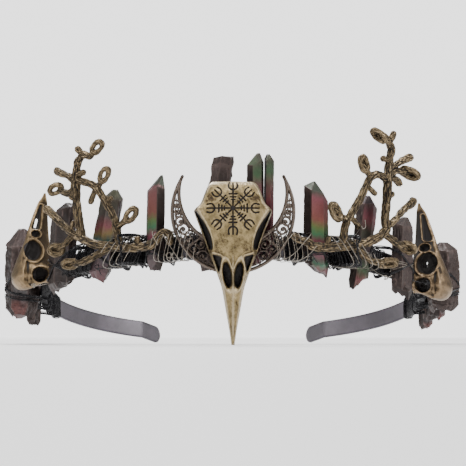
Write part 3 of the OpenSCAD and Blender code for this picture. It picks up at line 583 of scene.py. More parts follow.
class Shade:
    """A socket that adds a Math node for each operator, so that a mask reads as a formula."""

    def __init__(self, finish, socket):
        self.finish, self.socket = finish, socket

    def math(self, operation, *others):
        """This and the others through one Math node."""
        return self.finish.node("Math", {"operation": operation},
                                {k: v for k, v in enumerate((self, *others))})

    def __add__(self, other):
        return self.math("ADD", other)

    def __sub__(self, other):
        return self.math("SUBTRACT", other)

    def __rsub__(self, other):
        return (self * -1.0).math("ADD", other)

    def __mul__(self, other):
        return self.math("MULTIPLY", other)

    __radd__, __rmul__ = __add__, __mul__

    def clamped(self):
        """Held between 0 and 1."""
        return self.finish.node("Clamp", {}, {0: self, 1: 0.0, 2: 1.0})

    def between(self, low, high):
        """0 where this is low, 1 where it is high, smooth between."""
        return self.finish.node("MapRange", {"interpolation_type": "SMOOTHSTEP"}, {0: self, 1: low, 2: high})


class Finish:
    """A material under construction."""

    def __init__(self, name):
        self.material = bpy.data.materials.new(name)
        self.material.use_nodes = True
        self.tree = self.material.node_tree
        self.tree.nodes.clear()

    def node(self, kind, settings, sockets, out=0):
        """Any node: its type, its settings, and the values or links of its sockets."""
        made = self.tree.nodes.new("ShaderNode" + kind)
        for key, value in settings.items():
            if key == "stops":
                while len(made.color_ramp.elements) < len(value):
                    made.color_ramp.elements.new(0.5)
                for stop, (place, colour) in zip(made.color_ramp.elements, value):
                    stop.position, stop.color = place, (*colour, 1.0)
            else:
                setattr(made, key, value)
        for key, value in sockets.items():
            if isinstance(value, Shade):
                self.tree.links.new(value.socket, made.inputs[key])
            else:
                made.inputs[key].default_value = value
        return Shade(self, made.outputs[out]) if made.outputs else None

    def spot(self, stretch=(1.0, 1.0, 1.0)):
        """Place on the crown, stretched along X, Y and Z."""
        place = self.node("TexCoord", {}, {}, out=3)
        return self.node("Mapping", {}, {"Vector": place, "Scale": stretch})

    def noise(self, place, per_mm, detail=4.0, rough=0.55):
        """Noise from 0 to 1 with about that many blobs a millimetre."""
        return self.node("TexNoise", {}, {"Vector": place, "Scale": per_mm / MM, "Detail": detail,
                                          "Roughness": rough})

    def value(self, name):
        """A number that the piece carries per vertex."""
        return self.node("Attribute", {"attribute_name": name}, {}, out=2)

    def mixed(self, share, first, second):
        """The first colour where the share is 0 and the second where it is 1."""
        ends = {k: v if isinstance(v, Shade) else (*v, 1.0) for k, v in ((6, first), (7, second))}
        return self.node("Mix", {"data_type": "RGBA"}, {0: share, **ends}, out=2)

    def done(self, colour, roughness, metallic, height=None, bump_mm=0.05, **constants):
        """Ends the material in one Principled shader; height is a bump of that many millimetres."""
        sockets = {"Base Color": colour, "Roughness": roughness, "Metallic": metallic}
        if height is not None:
            sockets["Normal"] = self.node("Bump", {}, {"Height": height, "Distance": bump_mm * MM,
                                                       "Strength": 1.0})
        sockets.update({k.replace("_", " ").title().replace("Specular", "Specular IOR"): v
                        for k, v in constants.items()})
        shader = self.node("BsdfPrincipled", {}, sockets)
        self.node("OutputMaterial", {}, {"Surface": shader})
        return self.material


def cast_finish(name, bright, dark, deep, grain=2.2, speckle=1.0, gloss=0.5):
    """Antiqued casting. The piece marks how dark it is at each vertex: below 0 it is bright from wear and
    painted highlight, above 0 the patina and painted shade set in, and over 0.6 it is a deep hollow painted
    near black as shade. A blotchy patina and fine pits break it up."""
    f = Finish(name)
    place = f.spot()
    groove = f.value("patina")
    blotch = f.noise(place, 0.5, 5.0)
    pits = f.noise(place, grain, 6.0, 0.75)
    age_and_shade = groove + (blotch - 0.5) * 0.7 + (pits - 0.5) * speckle
    body = f.mixed(blotch.between(0.35, 0.7), shaded(bright, 1.4), shaded(bright, 0.75))
    # The ridges, bright from wear and painted highlight, are brighter and a little redder than the body
    ridge = tuple(2.1 * (0.8 * c + 0.2 * bright[0]) for c in bright)
    wear_and_highlight = f.mixed((age_and_shade * -1.0).between(0.1, 0.75), body, ridge)
    colour = f.mixed(age_and_shade.between(0.1, 0.62), wear_and_highlight, dark)
    # Deep hollows are painted near black: painted shade
    hollow = groove.between(0.6, 0.95)
    colour = f.mixed(hollow, colour, deep)
    roughness = 0.34 + age_and_shade.clamped() * 0.3 + pits * 0.1
    metallic = 1 - age_and_shade.clamped() * 0.3 - hollow * 0.5
    return f.done(colour, roughness, metallic, pits * 0.8 + blotch * 0.4, 0.16, specular_level=gloss)


def bark_finish(name, bright, dark):
    """Bark in cast metal: the net where a noise crosses its middle is dark, drawn out along the branch by the
    places round and along it that the piece carries, with fine hairs and ridges made bright by wear and
    painted highlight."""
    f = Finish(name)
    groove = f.value("patina")
    place = f.node("CombineXYZ", {}, {0: f.value("across"), 1: f.value("beside"), 2: f.value("run")})
    weave = f.noise(place, 1.35, 2.0)
    hairs = f.noise(place, 3.4, 3.0, 0.65)
    blotch = f.noise(f.spot(), 0.35, 4.0)
    net = (1 - (weave - 0.5).math("ABSOLUTE") * 13.0).clamped()
    age_and_shade = groove + net * 0.85 + (hairs - 0.5) * 1.5 + (blotch - 0.5) * 0.5
    body = f.mixed((age_and_shade * -1.0).between(0.05, 0.65), bright, shaded(bright, 2.8))
    colour = f.mixed(age_and_shade.between(0.15, 0.7), body, dark)
    return f.done(colour, 0.36 + age_and_shade.clamped() * 0.3, 1 - age_and_shade.clamped() * 0.4, hairs * 0.5 - net * 0.8, 0.14)


def strip_finish(colours):
    """Brushed gunmetal strip: streaks along the strip, darker and smoother at its edges."""
    f = Finish("brushed_gunmetal")
    run, edge = f.value("run"), f.value("edge")
    streak = f.node("TexNoise", {}, {"Vector": f.node("CombineXYZ", {}, {0: run * 0.12, 1: edge * 9.0}),
                                     "Scale": 6.0, "Detail": 5.0})
    cloud = f.noise(f.spot(), 0.12, 3.0)
    rim = edge.math("ABSOLUTE").between(0.72, 0.98)
    body = f.mixed(streak.between(0.3, 0.75), colours.gunmetal, shaded(colours.gunmetal, 1.25))
    body = f.mixed(cloud.between(0.4, 0.7) * 0.3, body, STRIP_CLOUD)
    return f.done(f.mixed(rim * 0.8, body, STRIP_RIM), 0.36 + streak * 0.2, 0.9, streak, 0.03)


def quartz_finish(name, stops, colours, rough):
    """Metal-coated quartz: plum brown, darker on some faces, with coloured bands up the faces that are marked
    to glow, painted as lit, while the other faces of a banded point are painted in shade; paler edges as a
    painted highlight, growth lines across the prism and a satin gloss."""
    f = Finish("quartz_" + name)
    tint, face, glow, edge = (f.value(key) for key in ("tint", "face", "glow", "edge"))
    cloud = f.noise(f.spot((1.0, 1.0, 0.45)), 0.2, 3.0)
    fine = f.noise(f.spot(), 1.6, 5.0, 0.6)
    flecks = f.noise(f.spot((1.0, 1.0, 0.4)), 0.8, 5.0, 0.7)
    lines = f.noise(f.spot((0.5, 0.5, 7.0)), 0.55, 3.0)
    dusk, pale = shaded(colours.plum, 0.25), shaded(colours.plum, 3.2)
    bands = f.node("ValToRGB", {"stops": stops}, {0: tint + (cloud - 0.5) * 0.26})
    # On a banded point the faces without bands are darkened as painted shade; on the others the faces differ
    # by chance
    body = f.mixed(face * 0.7 + (cloud - 0.5) * 0.9, colours.plum, dusk)
    # The coating's bands show on the faces painted as lit
    body = f.mixed(glow * 0.94, body, bands)
    dull = f.mixed(fine.between(0.45, 0.75) * (0.1 + 0.65 * rough), body, dusk)
    chalky = f.mixed(flecks.between(0.56, 0.74) * (0.1 + 0.55 * rough), dull, pale)
    # Growth lines and edges paler; on the edges this is a painted highlight
    bright = f.mixed(((lines - 0.58) * 4.0).clamped() * 0.2 + edge * 0.22, chalky, pale)
    return f.done(bright, 0.26 + 0.14 * rough + fine * 0.2, 0.8 - fine * 0.25,
                  lines * (0.3 + rough) + fine * (0.3 + rough), 0.08, coat_weight=0.18, coat_roughness=0.25)


def wire_finish(name, colour, roughness, metallic):
    """Drawn wire, lightly scuffed along its length."""
    f = Finish(name)
    scuff = f.noise(f.spot(), 1.4, 3.0)
    body = f.mixed(scuff.between(0.5, 0.75), colour, shaded(colour, 1.8, 0.003))
    return f.done(body, roughness + scuff * 0.15, metallic, specular_level=0.3)


# The band

def strip_section(count):
    """Rounded rectangle as a power of cosine and sine, to be scaled by half its thickness and width."""
    phi = np.linspace(0, 2 * math.pi, count, endpoint=False) + 0.01
    return boxy(np.cos(phi), 0.28), boxy(np.sin(phi), 0.28)


def band_mesh(sections=32):
    """A strip carried along an arc with a bent, round-ended tab at each end. The half width of a
    tab's last stretch is the height of a circle: the root of r squared less the squared distance."""
    end_r, mid_r = TAB_END_R, BAND_R - BAND_T / 2
    bend = np.radians(BAND_REACH)
    far = TAB_LEN - end_r + end_r * np.sin(np.linspace(math.pi / 2, 0, 18))
    out = np.concatenate([far, np.linspace(TAB_LEN - end_r, 0.15, 10)[1:]])
    arc = np.linspace(-bend, bend, 200)
    ends = []
    for side in (-1, 1):
        heading = side * (bend - np.radians(TAB_TURN))
        run = out if side < 0 else out[::-1]
        root = mid_r * np.array([math.sin(side * bend), -math.cos(bend)])
        ends.append((root + side * run[:, None] * np.array([math.cos(heading), math.sin(heading)]),
                     np.full(len(run), heading), run))
    middle = np.stack([mid_r * np.sin(arc), -mid_r * np.cos(arc)], -1)
    spots = np.vstack([ends[0][0], middle, ends[1][0]])
    headings = np.concatenate([ends[0][1], arc, ends[1][1]])
    runs = np.concatenate([ends[0][2], 0 * arc, ends[1][2]])
    half = np.sqrt(np.maximum(end_r ** 2 - np.maximum(runs - (TAB_LEN - end_r), 0) ** 2, 0.0004))
    outward = np.stack([np.sin(headings), -np.cos(headings)], -1)
    a, b = strip_section(sections)
    flat = spots[:, None] + a[None, :, None] * BAND_T / 2 * outward[:, None]
    height = np.broadcast_to(b[None] * half[:, None], flat.shape[:2])
    grid = on_band(np.concatenate([flat, height[..., None]], -1))
    length = np.concatenate([[0], np.cumsum(np.linalg.norm(np.diff(spots, axis=0), axis=-1))])
    run = np.broadcast_to(length[:, None], grid.shape[:2])
    return skin_of(grid[:, ::-1]), run[:, ::-1].ravel(), np.broadcast_to(b, grid.shape[:2])[:, ::-1].ravel()


# The skulls

def skull_corners():
    """Corner points of each cross-section of the skull as width, depth and height, from the left
    rear edge over the brow to the right rear edge."""
    z, w, b, d_side, d_brow, d_mid, pinch = SKULL.T
    half = np.array([
        [0.94 * w, 0 * w], [w, 0.5 * d_side], [0.97 * w, d_side],
        [w + (b - w) * pinch, (d_side + d_brow) / 2], [b, d_brow],
        [0.66 * b, 0.3 * d_brow + 0.7 * d_mid], [0.3 * b, d_mid]])
    middle = np.array([[0 * w, d_mid + 0.15]])
    outline = np.concatenate([half * [[-1], [1]], middle, half[::-1]])
    flat = np.moveaxis(outline, 2, 0)
    return np.concatenate([flat, np.broadcast_to(z[:, None, None], (*flat.shape[:2], 1))], -1)


def to_segment(x, z, ax, az, bx, bz):
    """Distance to the straight line from a to b."""
    dx, dz = bx - ax, bz - az
    t = np.clip(((x - ax) * dx + (z - az) * dz) / (dx * dx + dz * dz), 0, 1)
    return np.hypot(x - ax - t * dx, z - az - t * dz)


def stave_mask(x, z):
    """1 in the lines of the eight-armed stave. All arms fold into one by their angle modulo 45
    degrees; an arm is a stem, three bars and a three-pronged fork on a half circle."""
    r, turn = np.hypot(x, z), np.arctan2(x, z)
    turn -= np.round(turn / (math.pi / 4)) * math.pi / 4
    u, v = np.abs(r * np.sin(turn)), r * np.cos(turn)
    fork_r, fork_z = 1.35, STAVE_REACH - 0.9
    line = to_segment(u, v, 0, 0, 0, STAVE_REACH)
    for height, reach in ((2.5, 0.5), (3.3, 0.8), (4.2, 1.15)):
        line = np.minimum(line, to_segment(u, v, 0, height, reach, height))
    bowl = np.where(v < fork_z, np.abs(np.hypot(u, v - fork_z) - fork_r),
                    to_segment(u, v, fork_r, fork_z, fork_r - 0.22, STAVE_REACH + 0.05))
    return 1 - step(0.12, 0.32, np.minimum(line, bowl))


def eye_distance(ax, z):
    """Signed distance to the three-cornered eye hole: the largest of the distances to its sides,
    rounded off by taking the root of the sum of their squares near a corner."""
    corners = np.array([[3.3, 26.3], [6.35, 27.3], [4.15, 21.3]])
    sides = []
    for a, b in zip(corners, np.roll(corners, -1, 0)):
        along = (b - a) / np.hypot(*(b - a))
        sides.append((ax - a[0]) * -along[1] + (z - a[1]) * along[0] + 0.55)
    sides = np.stack(sides)
    return np.where(sides.max(0) > 0, np.sqrt((np.maximum(sides, 0) ** 2).sum(0)), sides.max(0)) - 0.55


def nostril_distance(ax, z):
    """Rough signed distance to the nostril, an ellipse whose foot leans to the middle."""
    across, up = (ax - 1.68 - 0.13 * (z - 20.9)) / 1.28, (z - 20.9) / 3.9
    return (np.hypot(across, up) - 1) * 1.28


def front_relief(x, z, col):
    """How far the front of the centre skull sinks in and how dark it is. Pockets are S steps of a
    signed distance, rims are bells round them, and `side` counts table columns from the edge."""
    ax = np.abs(x)
    side = np.minimum(col, LAST_COL - col)
    face = step(3.6, 4.0, side)
    flat = np.stack([x, 0 * x, z], -1)
    stave = stave_mask(x, z - STAVE_Z)
    eye, nostril = eye_distance(ax, z), nostril_distance(ax, z)
    eye_hole = step(0.1, -0.35, eye) * step(1.6, 2.1, side)
    nostril_hole = step(0.1, -0.35, nostril) * face
    holes = np.maximum(eye_hole, nostril_hole)
    eye_rim = bell(eye, 0.36, 0.22) * step(1.4, 2.0, side)
    nostril_rim = 1.15 * bell(nostril, 0.38, 0.2) * face
    rims = np.maximum(eye_rim, nostril_rim) * (1 - holes)
    # The long trough beside the brow, the line outside it and the line along the brow's edge
    trough = plateau(side, 2.0, 2.45, 3.4, 3.85) * plateau(z, 28.0, 30.0, 39.2, 41.0)
    outer_line = bell(side, 1.85, 0.3) * plateau(z, 26.5, 28.5, 40.5, 41.5)
    brow_line = bell(side, 4.08, 0.2) * step(27.5, 29.5, z)
    spine = bell(ax, 0, 0.3) * plateau(z, 1, 5, 25.2, 27.5)
    dents = bell(np.hypot((ax - 6.6) / 1.3, z - 43.7), 0, 1.7) * face
    beak = 1 - step(15, 21, z)
    share = ax / np.interp(z, SKULL[:, 0], SKULL[:, 2])
    flanks = bell(share, 0.62, 0.26) * beak * step(1, 4, z)
    edges = (1 - step(3.2, 4.3, side)) * (1 - trough)
    soft = (ripples(flat, 2.6, 11) * 0.08 + ripples(flat, 1.1, 12) * 0.04) * face * step(5, 12, z)
    sink = STAVE_CUT * stave * face + HOLE_CUT * holes + TROUGH_CUT * trough - 0.4 * (rims + spine) \
        + 0.6 * dents + 0.22 * flanks + soft - 0.3 * outer_line - 0.14 * brow_line
    # Bright on the rims, the spine, the lines by the brow, the beak and the top and beak edges: wear and
    # painted highlight
    wear_and_highlight = 0.55 * rims + 0.5 * spine + 0.75 * outer_line + 0.5 * brow_line + 0.3 * beak \
        + edges * (1.3 * beak + 0.75 * step(40.6, 42, z)) + 0.5 * step(47.2, 48.6, z) * (1 - stave)
    # Darkness: the stave's lines are dark in themselves; the holes and the trough are painted near black as
    # shade
    dark = np.maximum.reduce([stave * face, 1.3 * holes, 1.3 * trough, 0.5 * flanks, 0.6 * dents])
    neck = 0.2 * bell(z, 30.5, 4) + 0.3 * bell(z, 24, 5) * (1 - holes) * step(2.9, 3.4, ax)
    return sink, dark + neck - wear_and_highlight * (1 - np.maximum(holes, trough))


def flank_oval(depth, z, centre, semi):
    """Rough signed distance, in widths, to an oval on the flank, given by its centre and half sizes
    in depth and height."""
    across, up = (depth - centre[0]) / semi[0], (z - centre[1]) / semi[1]
    return (np.hypot(across, up) - 1) * semi[0]


def cut_back(depth, z):
    """Height on a side skull once its cranium is rounded off: the closer to the rear edge, the more
    it is cut back."""
    return z - 4.4 * step(39, SKULL_H, z) * (1 - step(1, 9, depth))


def side_relief(depth, z, tone, window, orbit):
    """The flank of a side skull: how far it is pressed in as a share of its half width, how far its
    rims stand out, and how dark it is, with `tone` for the bone between the rims. The trough of the
    nostril is a cone, the other pockets are ovals given by centre and half sizes."""
    mid = np.interp(z, SKULL[:, 0], SKULL[:, 5])
    brow = np.interp(z, SKULL[:, 0], SKULL[:, 4])
    flank = plateau(depth, 0.7, 1.4, mid - 1.1, mid - 0.4)
    # The trough ends below the window, so it is shorter under a lower one
    trough_top = 16.7 - 0.4 * (21.6 - window[0][1])
    trough_r = 0.45 + 0.95 * np.clip((z - 6.0) / 10.7, 0, 1)
    trough = to_segment(depth, z, 2.2, 6.0, 4.1, trough_top) - trough_r
    ear = flank_oval(depth, cut_back(depth, z), (3.7, 40.4), (2.6, 3.7))
    window, orbit = flank_oval(depth, z, *window), flank_oval(depth, z, *orbit)
    pit = np.maximum.reduce([step(0.15, -0.5, gap) for gap in (trough, window, orbit, ear)])
    rim = np.maximum.reduce([
        bell(trough, 0.36, 0.22), bell(window, 0.36, 0.22), 1.1 * bell(orbit, 0.42, 0.26),
        0.35 * bell(ear, 0.36, 0.2)]) * (1 - pit)
    lobe = step(33.5, 37, z)
    line = bell(depth, brow, 0.34) * step(22, 26, z)
    ridge = bell(depth, mid + 0.1, 0.6) * step(2, 6, z)
    groove = bell(depth, brow - 1.1, 0.6) * step(22, 27, z)
    rise = flank * (0.8 * rim - 0.3 * groove) + 0.5 * lobe * flank + 0.35 * line
    between = tone * (1 - lobe) * step(1, 6, z) * (1 - step(mid - 0.6, mid, depth) * step(24, 28, z))
    end = step(46.6, 48.2, z) * (1 - step(8.6, 10, depth))
    streaks = (0.3 * np.sin(2.1 * depth + 0.3 * z) + 0.12 * np.sin(5.3 * depth - 0.2 * z)) * lobe
    # The pockets are painted near black as shade; the groove beside the brow and the bone between the rims
    # are darker
    dark = np.maximum.reduce([1.25 * pit, 0.6 * groove, between])
    # The rims, the brow's line, the ridge and the cranium's end edge are bright from wear and painted
    # highlight
    wear_and_highlight = np.maximum.reduce([1.1 * rim, 1.5 * line, 0.9 * ridge, end])
    return 0.5 * pit * flank, rise, dark + 0.08 + streaks - 1.25 * wear_and_highlight * (1 - pit)


def skull_grid(heights, cols, hollow_from, wall, backs=30):
    """Rings of a skull, each running round the outside from the left rear edge to the right one and
    back along the inside, where the hollow is the outside moved in by the wall. The tables' points
    are blended by blurred weights both ways."""
    at = np.interp(heights, SKULL[:, 0], np.arange(len(SKULL)))
    corners = skull_corners()
    up = blurred_weights(at, len(SKULL), 0.35)
    outer = np.einsum("rk,cj,kjx->rcx", up, blurred_weights(cols, LAST_COL + 1, 0.26), corners)
    back_cols = np.linspace(LAST_COL, 0, backs + 2)[1:-1]
    inner = np.einsum("rk,cj,kjx->rcx", up, blurred_weights(back_cols, LAST_COL + 1, 0.4), corners)
    width = np.abs(outer[:, :1, 0:1])
    hollow = plateau(heights, hollow_from - 1, hollow_from + 1, SKULL_H - 2.2, SKULL_H - 1.2)[:, None]
    inner[..., 0] *= (1 - wall / np.maximum(width, 2 * wall))[..., 0]
    inner[..., 1] = np.maximum(inner[..., 1] - wall, 0) * hollow
    return outer, inner


def lidded(grid, steps=(0.85, 0.55, 0.25)):
    """A stack of rings with its last ring repeated, ever smaller about its middle."""
    last = grid[-1]
    middle = (last.max(0) + last.min(0)) / 2
    return np.concatenate([grid, np.stack([middle + (last - middle) * s for s in steps])])


def centre_skull():
    """The centre skull's skin and how dark each vertex is."""
    heights = stretches((0, 14, 29, SKULL_H), (34, 84, 146))
    cols = stretches((0, 1.4, 4.2, 9.8, 12.6, LAST_COL), (6, 32, 132, 32, 7))
    outer, inner = skull_grid(heights, cols, 29.3, SKULL_WALL)
    sink, dark = front_relief(outer[..., 0], outer[..., 2], np.broadcast_to(cols, outer.shape[:2]))
    outer[..., 1] -= np.minimum(sink, 0.55 * outer[..., 1])
    grid = lidded(np.concatenate([outer, inner], 1))
    patina = np.full(grid.shape[:2], LID_DARK)
    patina[:len(heights), :len(cols)] = dark
    # The inside of the skull is painted dark as shade
    patina[:len(heights), len(cols):] = INSIDE_DARK
    x, depth, z = np.moveaxis(grid, -1, 0)
    placed = np.stack([x, CENTRE_Y - SKULL_BACK_Y - np.minimum(depth, SKULL_D + RIM_RISE), z], -1)
    return skin_of(placed), patina.ravel()


def across_bar(low, high, r, reach=20, sides=28):
    """A bar with round edges that lies across the skull, from a low to a high place on its flank."""
    low, high = np.array(low, float), np.array(high, float)
    phi = np.linspace(0, 2 * math.pi, sides, endpoint=False)
    ring = np.stack([np.cos(phi), np.sin(phi)], -1)
    spots = np.where((ring @ (high - low) > 0)[:, None], high, low) + r * ring
    return skin_of(np.stack([np.concatenate([np.full((sides, 1), x), spots], -1) for x in (-reach, reach)]))


def side_skull(angle, foot, bars, tone, window, orbit):
    """A side skull's mesh, beak up and brow outwards, with some holes right through, and how dark
    it is. Its ears lie flatter than those of the centre skull and its beak ends in a point."""
    heights = np.linspace(0, SKULL_H, 165)
    cols = stretches((0, 1.6, 4.4, 9.6, 12.4, LAST_COL), (9, 54, 30, 54, 10))
    outer, inner = skull_grid(heights, cols, 12.5, SIDE_WALL)
    flat = (np.interp(heights, [0, 33, 37, 40.7, 44, SKULL_H], [1, 1, 0.95, 0.86, 1, 1]))[:, None]
    outer[..., 0] *= flat
    pressed, rise, _ = side_relief(outer[..., 1], outer[..., 2], tone, window, orbit)
    outer[..., 0] = outer[..., 0] * (1 - pressed) + np.sign(outer[..., 0]) * rise
    # The inside steps in behind the pockets, so that the wall stays whole
    pressed, _, _ = side_relief(inner[..., 1] + 1.5, inner[..., 2], tone, window, orbit)
    inner[..., 0] *= flat * (1 - np.minimum(1.25 * pressed, 0.6))
    solid = skin_of(lidded(np.concatenate([outer, inner], 1)))
    mesh = finished_mesh(solid, *[("BOOLEAN", {"operation": "DIFFERENCE", "solver": "MANIFOLD",
                                               "object": across_bar(*bar)}) for bar in bars])
    spots, _ = points_of(mesh)
    x, depth, z = spots.T
    half = np.interp(z, SKULL[:, 0], SKULL[:, 1])
    brow = np.interp(z, SKULL[:, 0], SKULL[:, 4])
    _, _, dark = side_relief(depth, z, tone, window, orbit)
    # The inside of the hollow is painted dark as shade
    inside = (1 - step(0.35, 0.5, np.abs(x) / half)) * (1 - step(brow - 1.5, brow - 0.6, depth))
    dark = np.maximum(dark, inside)
    # From the table's size to that of a side skull, turned over and drawn out to a point
    point = 1 - step(0, 5, z)
    wide, deep = SIDE_H * 0.5 / SKULL_W * (1 - 0.3 * point), SIDE_D / SKULL_D * (1 - 0.5 * point)
    height = foot + SIDE_H - cut_back(depth, z) * SIDE_H / SKULL_H + 1.1 * (1 - step(0, 16, z))
    out = CRYSTAL_IN_R + 0.9 + 0.35 * point + depth * deep
    move_points(mesh, beside(angle, out, x * wide, height))
    mesh.flip_normals()
    # Hollows darker with patina and painted shade, ridges brighter with wear and painted highlight
    return mesh, dark + 0.2 * hollowness(mesh, 6, 0.06)


# The moon

def moon_spot(across, up):
    """Point of the moon's middle plane."""
    across, up = np.asarray(across, float), np.asarray(up, float)
    return np.stack([across, CENTRE_Y - MOON_Y - MOON_T / 2 + 0 * across, MOON_Z + up], -1)


def moon_inner(angle):
    """Distance from the centre to the inner rim's edge at an angle from the bottom."""
    return math.sqrt((MOON_BITE_R + MOON_RIM) ** 2 - (MOON_BITE_UP * math.sin(angle)) ** 2) \
        - MOON_BITE_UP * math.cos(angle)


def moon_bar(path, width, thick, taper=1):
    """A bar of the moon with an oval section; returns its skin and how dark it is off its crest, which is
    painted shade on its sides and back.
    """
    made = tube(path, thick * np.asarray(taper, float), 12, (0, -1, 0), flat=width / thick)
    ahead = (CENTRE_Y - MOON_Y - MOON_T / 2 - made[0][:, 1]) / (thick * np.max(taper))
    return made, 1 - step(0.15, 0.8, ahead)


def moon_rims():
    """The two rims as arcs, with an inner line beside each."""
    horn = math.pi / 2 + math.asin(HORN_TOP / MOON_R)
    bite = math.pi / 2 + math.asin((HORN_TOP - MOON_BITE_UP) / (MOON_BITE_R + 0.5))
    bars = []
    # Columns: radius, height of the centre, half angle, sign of the inset, half angle of the inner line
    for radius, up, end, sign, line_end in ((MOON_R, 0, horn, -1, math.radians(98)),
                                            (MOON_BITE_R, MOON_BITE_UP, bite, 1, math.radians(84))):
        turn = np.linspace(-end + 0.12, end - 0.12, 130)
        # Columns: inset from the edge, half width, half thickness, half angle
        for inset, width, thick, stop in ((0.55, 0.56, MOON_T / 2, end),
                                          (1.45, 0.19, MOON_T / 2 * 0.75, line_end)):
            reach = radius + sign * inset
            path = moon_spot(reach * np.sin(turn), up - reach * np.cos(turn))[np.abs(turn) < stop]
            bars.append(moon_bar(path, width, thick))
    return bars


def moon_horns():
    """The horns, where the two rims run together into a rod."""
    up = np.linspace(HORN_FOOT, HORN_TOP - 0.45, 26)
    outer, inner = np.sqrt(MOON_R ** 2 - up ** 2), np.sqrt(MOON_BITE_R ** 2 - (up - MOON_BITE_UP) ** 2)
    rod = np.maximum(0.5, (outer - inner) / 2)
    return [moon_bar(moon_spot(side * (outer + inner) / 2, up), 1, 1, rod) for side in (-1, 1)]


def moon_scroll(side, angle, share, row, hand, start):
    """One scroll, whose radius falls with the turn to the power 1.7, and the ball in its middle."""
    outer, inner = MOON_R - MOON_RIM, moon_inner(math.radians(angle))
    r = (outer - inner) * share
    reach = outer - r * 0.93 if row > 0 else inner + r * 0.93 if row < 0 else (outer + inner) / 2
    f = np.linspace(0, 1, 46)
    turn = np.radians(start + 360 * SCROLL_TURNS * f)
    size = r + (r * 0.22 - r) * f ** 1.7
    x, y = size * np.cos(turn), side * hand * size * np.sin(turn)
    heading = -math.pi / 2 + side * math.radians(angle)
    c, s = math.cos(heading), math.sin(heading)
    path = moon_spot(c * (reach + x) - s * y, s * (reach + x) + c * y)
    ball = moon_spot(reach * c, reach * s) + np.outer([-0.1, 0, 0.1], [c, 0, s])
    return [moon_bar(path, 0.24 if row else 0.34, MOON_T / 2 * 0.8),
            moon_bar(ball, r * 0.27, MOON_T / 2 * 0.85)]


def moon_cross_bar(side, angle):
    """A bar that crosses the field from rim to rim."""
    heading = -math.pi / 2 + side * math.radians(angle)
    inner = moon_inner(math.radians(angle))
    ends = np.array([MOON_R - 0.6, (MOON_R + inner) / 2 - 0.4, inner - 0.4])
    return moon_bar(moon_spot(ends * math.cos(heading), ends * math.sin(heading)), 0.3, MOON_T / 2 * 0.7)


def moon_parts():
    """The moon's skin and how dark each vertex is."""
    bars = moon_rims() + moon_horns()
    for side in (-1, 1):
        for scroll in SCROLLS:
            bars += moon_scroll(side, *scroll)
        bars += [moon_cross_bar(side, angle) for angle in MOON_BARS]
    return joined([skin for skin, _ in bars]), np.concatenate([dark for _, dark in bars])


# The twigs

def bark_tube(path, radii, seed, sides=22, closed=False, towards=(0.3, 0.2, 1.0)):
    """A branch whose radius swells with slow noise and has furrows that run along it."""
    rng = np.random.default_rng(seed)
    phi = np.linspace(0, 2 * math.pi, sides, endpoint=False)
    run = np.linspace(0, 1, len(path))[:, None]
    furrows = sum(np.sin(k * phi + rng.uniform(0, 6) + rng.uniform(-5, 5) * run) / 3 for k in (3, 5, 7))
    knots = ripples(np.asarray(path), 3.2, seed) * 0.06
    relief = radii[:, None] * (0.06 * furrows + knots[:, None])
    return tube(path, radii, sides, towards, closed, relief=relief)


def eye_frame(row):
    """Middle of an eyelet and the directions of its long axis, its short axis and its front. It
    faces partly forwards; the long axis lies at `lean` from level and the eyelet is tipped about it."""
    angle, height, _, _, lean, tip, _ = row
    turn, lean, tip = math.radians(0.35 * angle), math.radians(lean), math.radians(tip)
    out = np.array([math.sin(turn), -math.cos(turn), 0])
    side, up = np.array([math.cos(turn), math.sin(turn), 0]), np.array([0, 0, 1.0])
    along = math.cos(lean) * side + math.sin(lean) * up
    across = (math.cos(lean) * up - math.sin(lean) * side) * math.cos(tip) + out * math.sin(tip)
    return around(angle, TWIG_R + EYE_OUT, height), along, across, np.cross(along, across)


def eye_ring(row, steps=44):
    """The rim of an eyelet: an ellipse, thicker at its ends than at its sides."""
    long, short = 1.07 * row[2], 1.1 * row[3]
    middle, along, across, front = eye_frame(row)
    phi = np.linspace(0, 2 * math.pi, steps, endpoint=False)[:, None]
    end_r, side_r = 0.3 * long, 0.36 * short
    path = middle + (long - end_r) * np.cos(phi) * along + (short - side_r) * np.sin(phi) * across
    return path, side_r + (end_r - side_r) * np.cos(phi[:, 0]) ** 2, front


def eye_floor(row):
    """The floor of an eyelet that is a cup: a flat lens behind its rim."""
    long, short = row[2:4]
    middle, along, across, front = eye_frame(row)
    phi = np.linspace(0, 2 * math.pi, 20, endpoint=False)[None, :, None]
    psi = np.radians(np.linspace(-85, 85, 9))[:, None, None]
    oval = (long - 0.6) * np.cos(phi) * along + (short - 0.45) * np.sin(phi) * across
    return skin_of(middle - 0.42 * front + np.cos(psi) * oval + 0.42 * np.sin(psi) * front)


def bark_trace(path, radii, towards, closed, bark, start):
    """One row for each place on a branch: the place, its up and side directions, its distance along
    the branch, its radius and how strongly it is furrowed."""
    side, up = path_frame(path, towards, closed)
    run = start + np.concatenate([[0], np.cumsum(np.linalg.norm(np.diff(path, axis=0), axis=-1))])
    count = len(path)
    return np.column_stack([path, up, side, run, np.broadcast_to(radii, count), np.full(count, bark)])


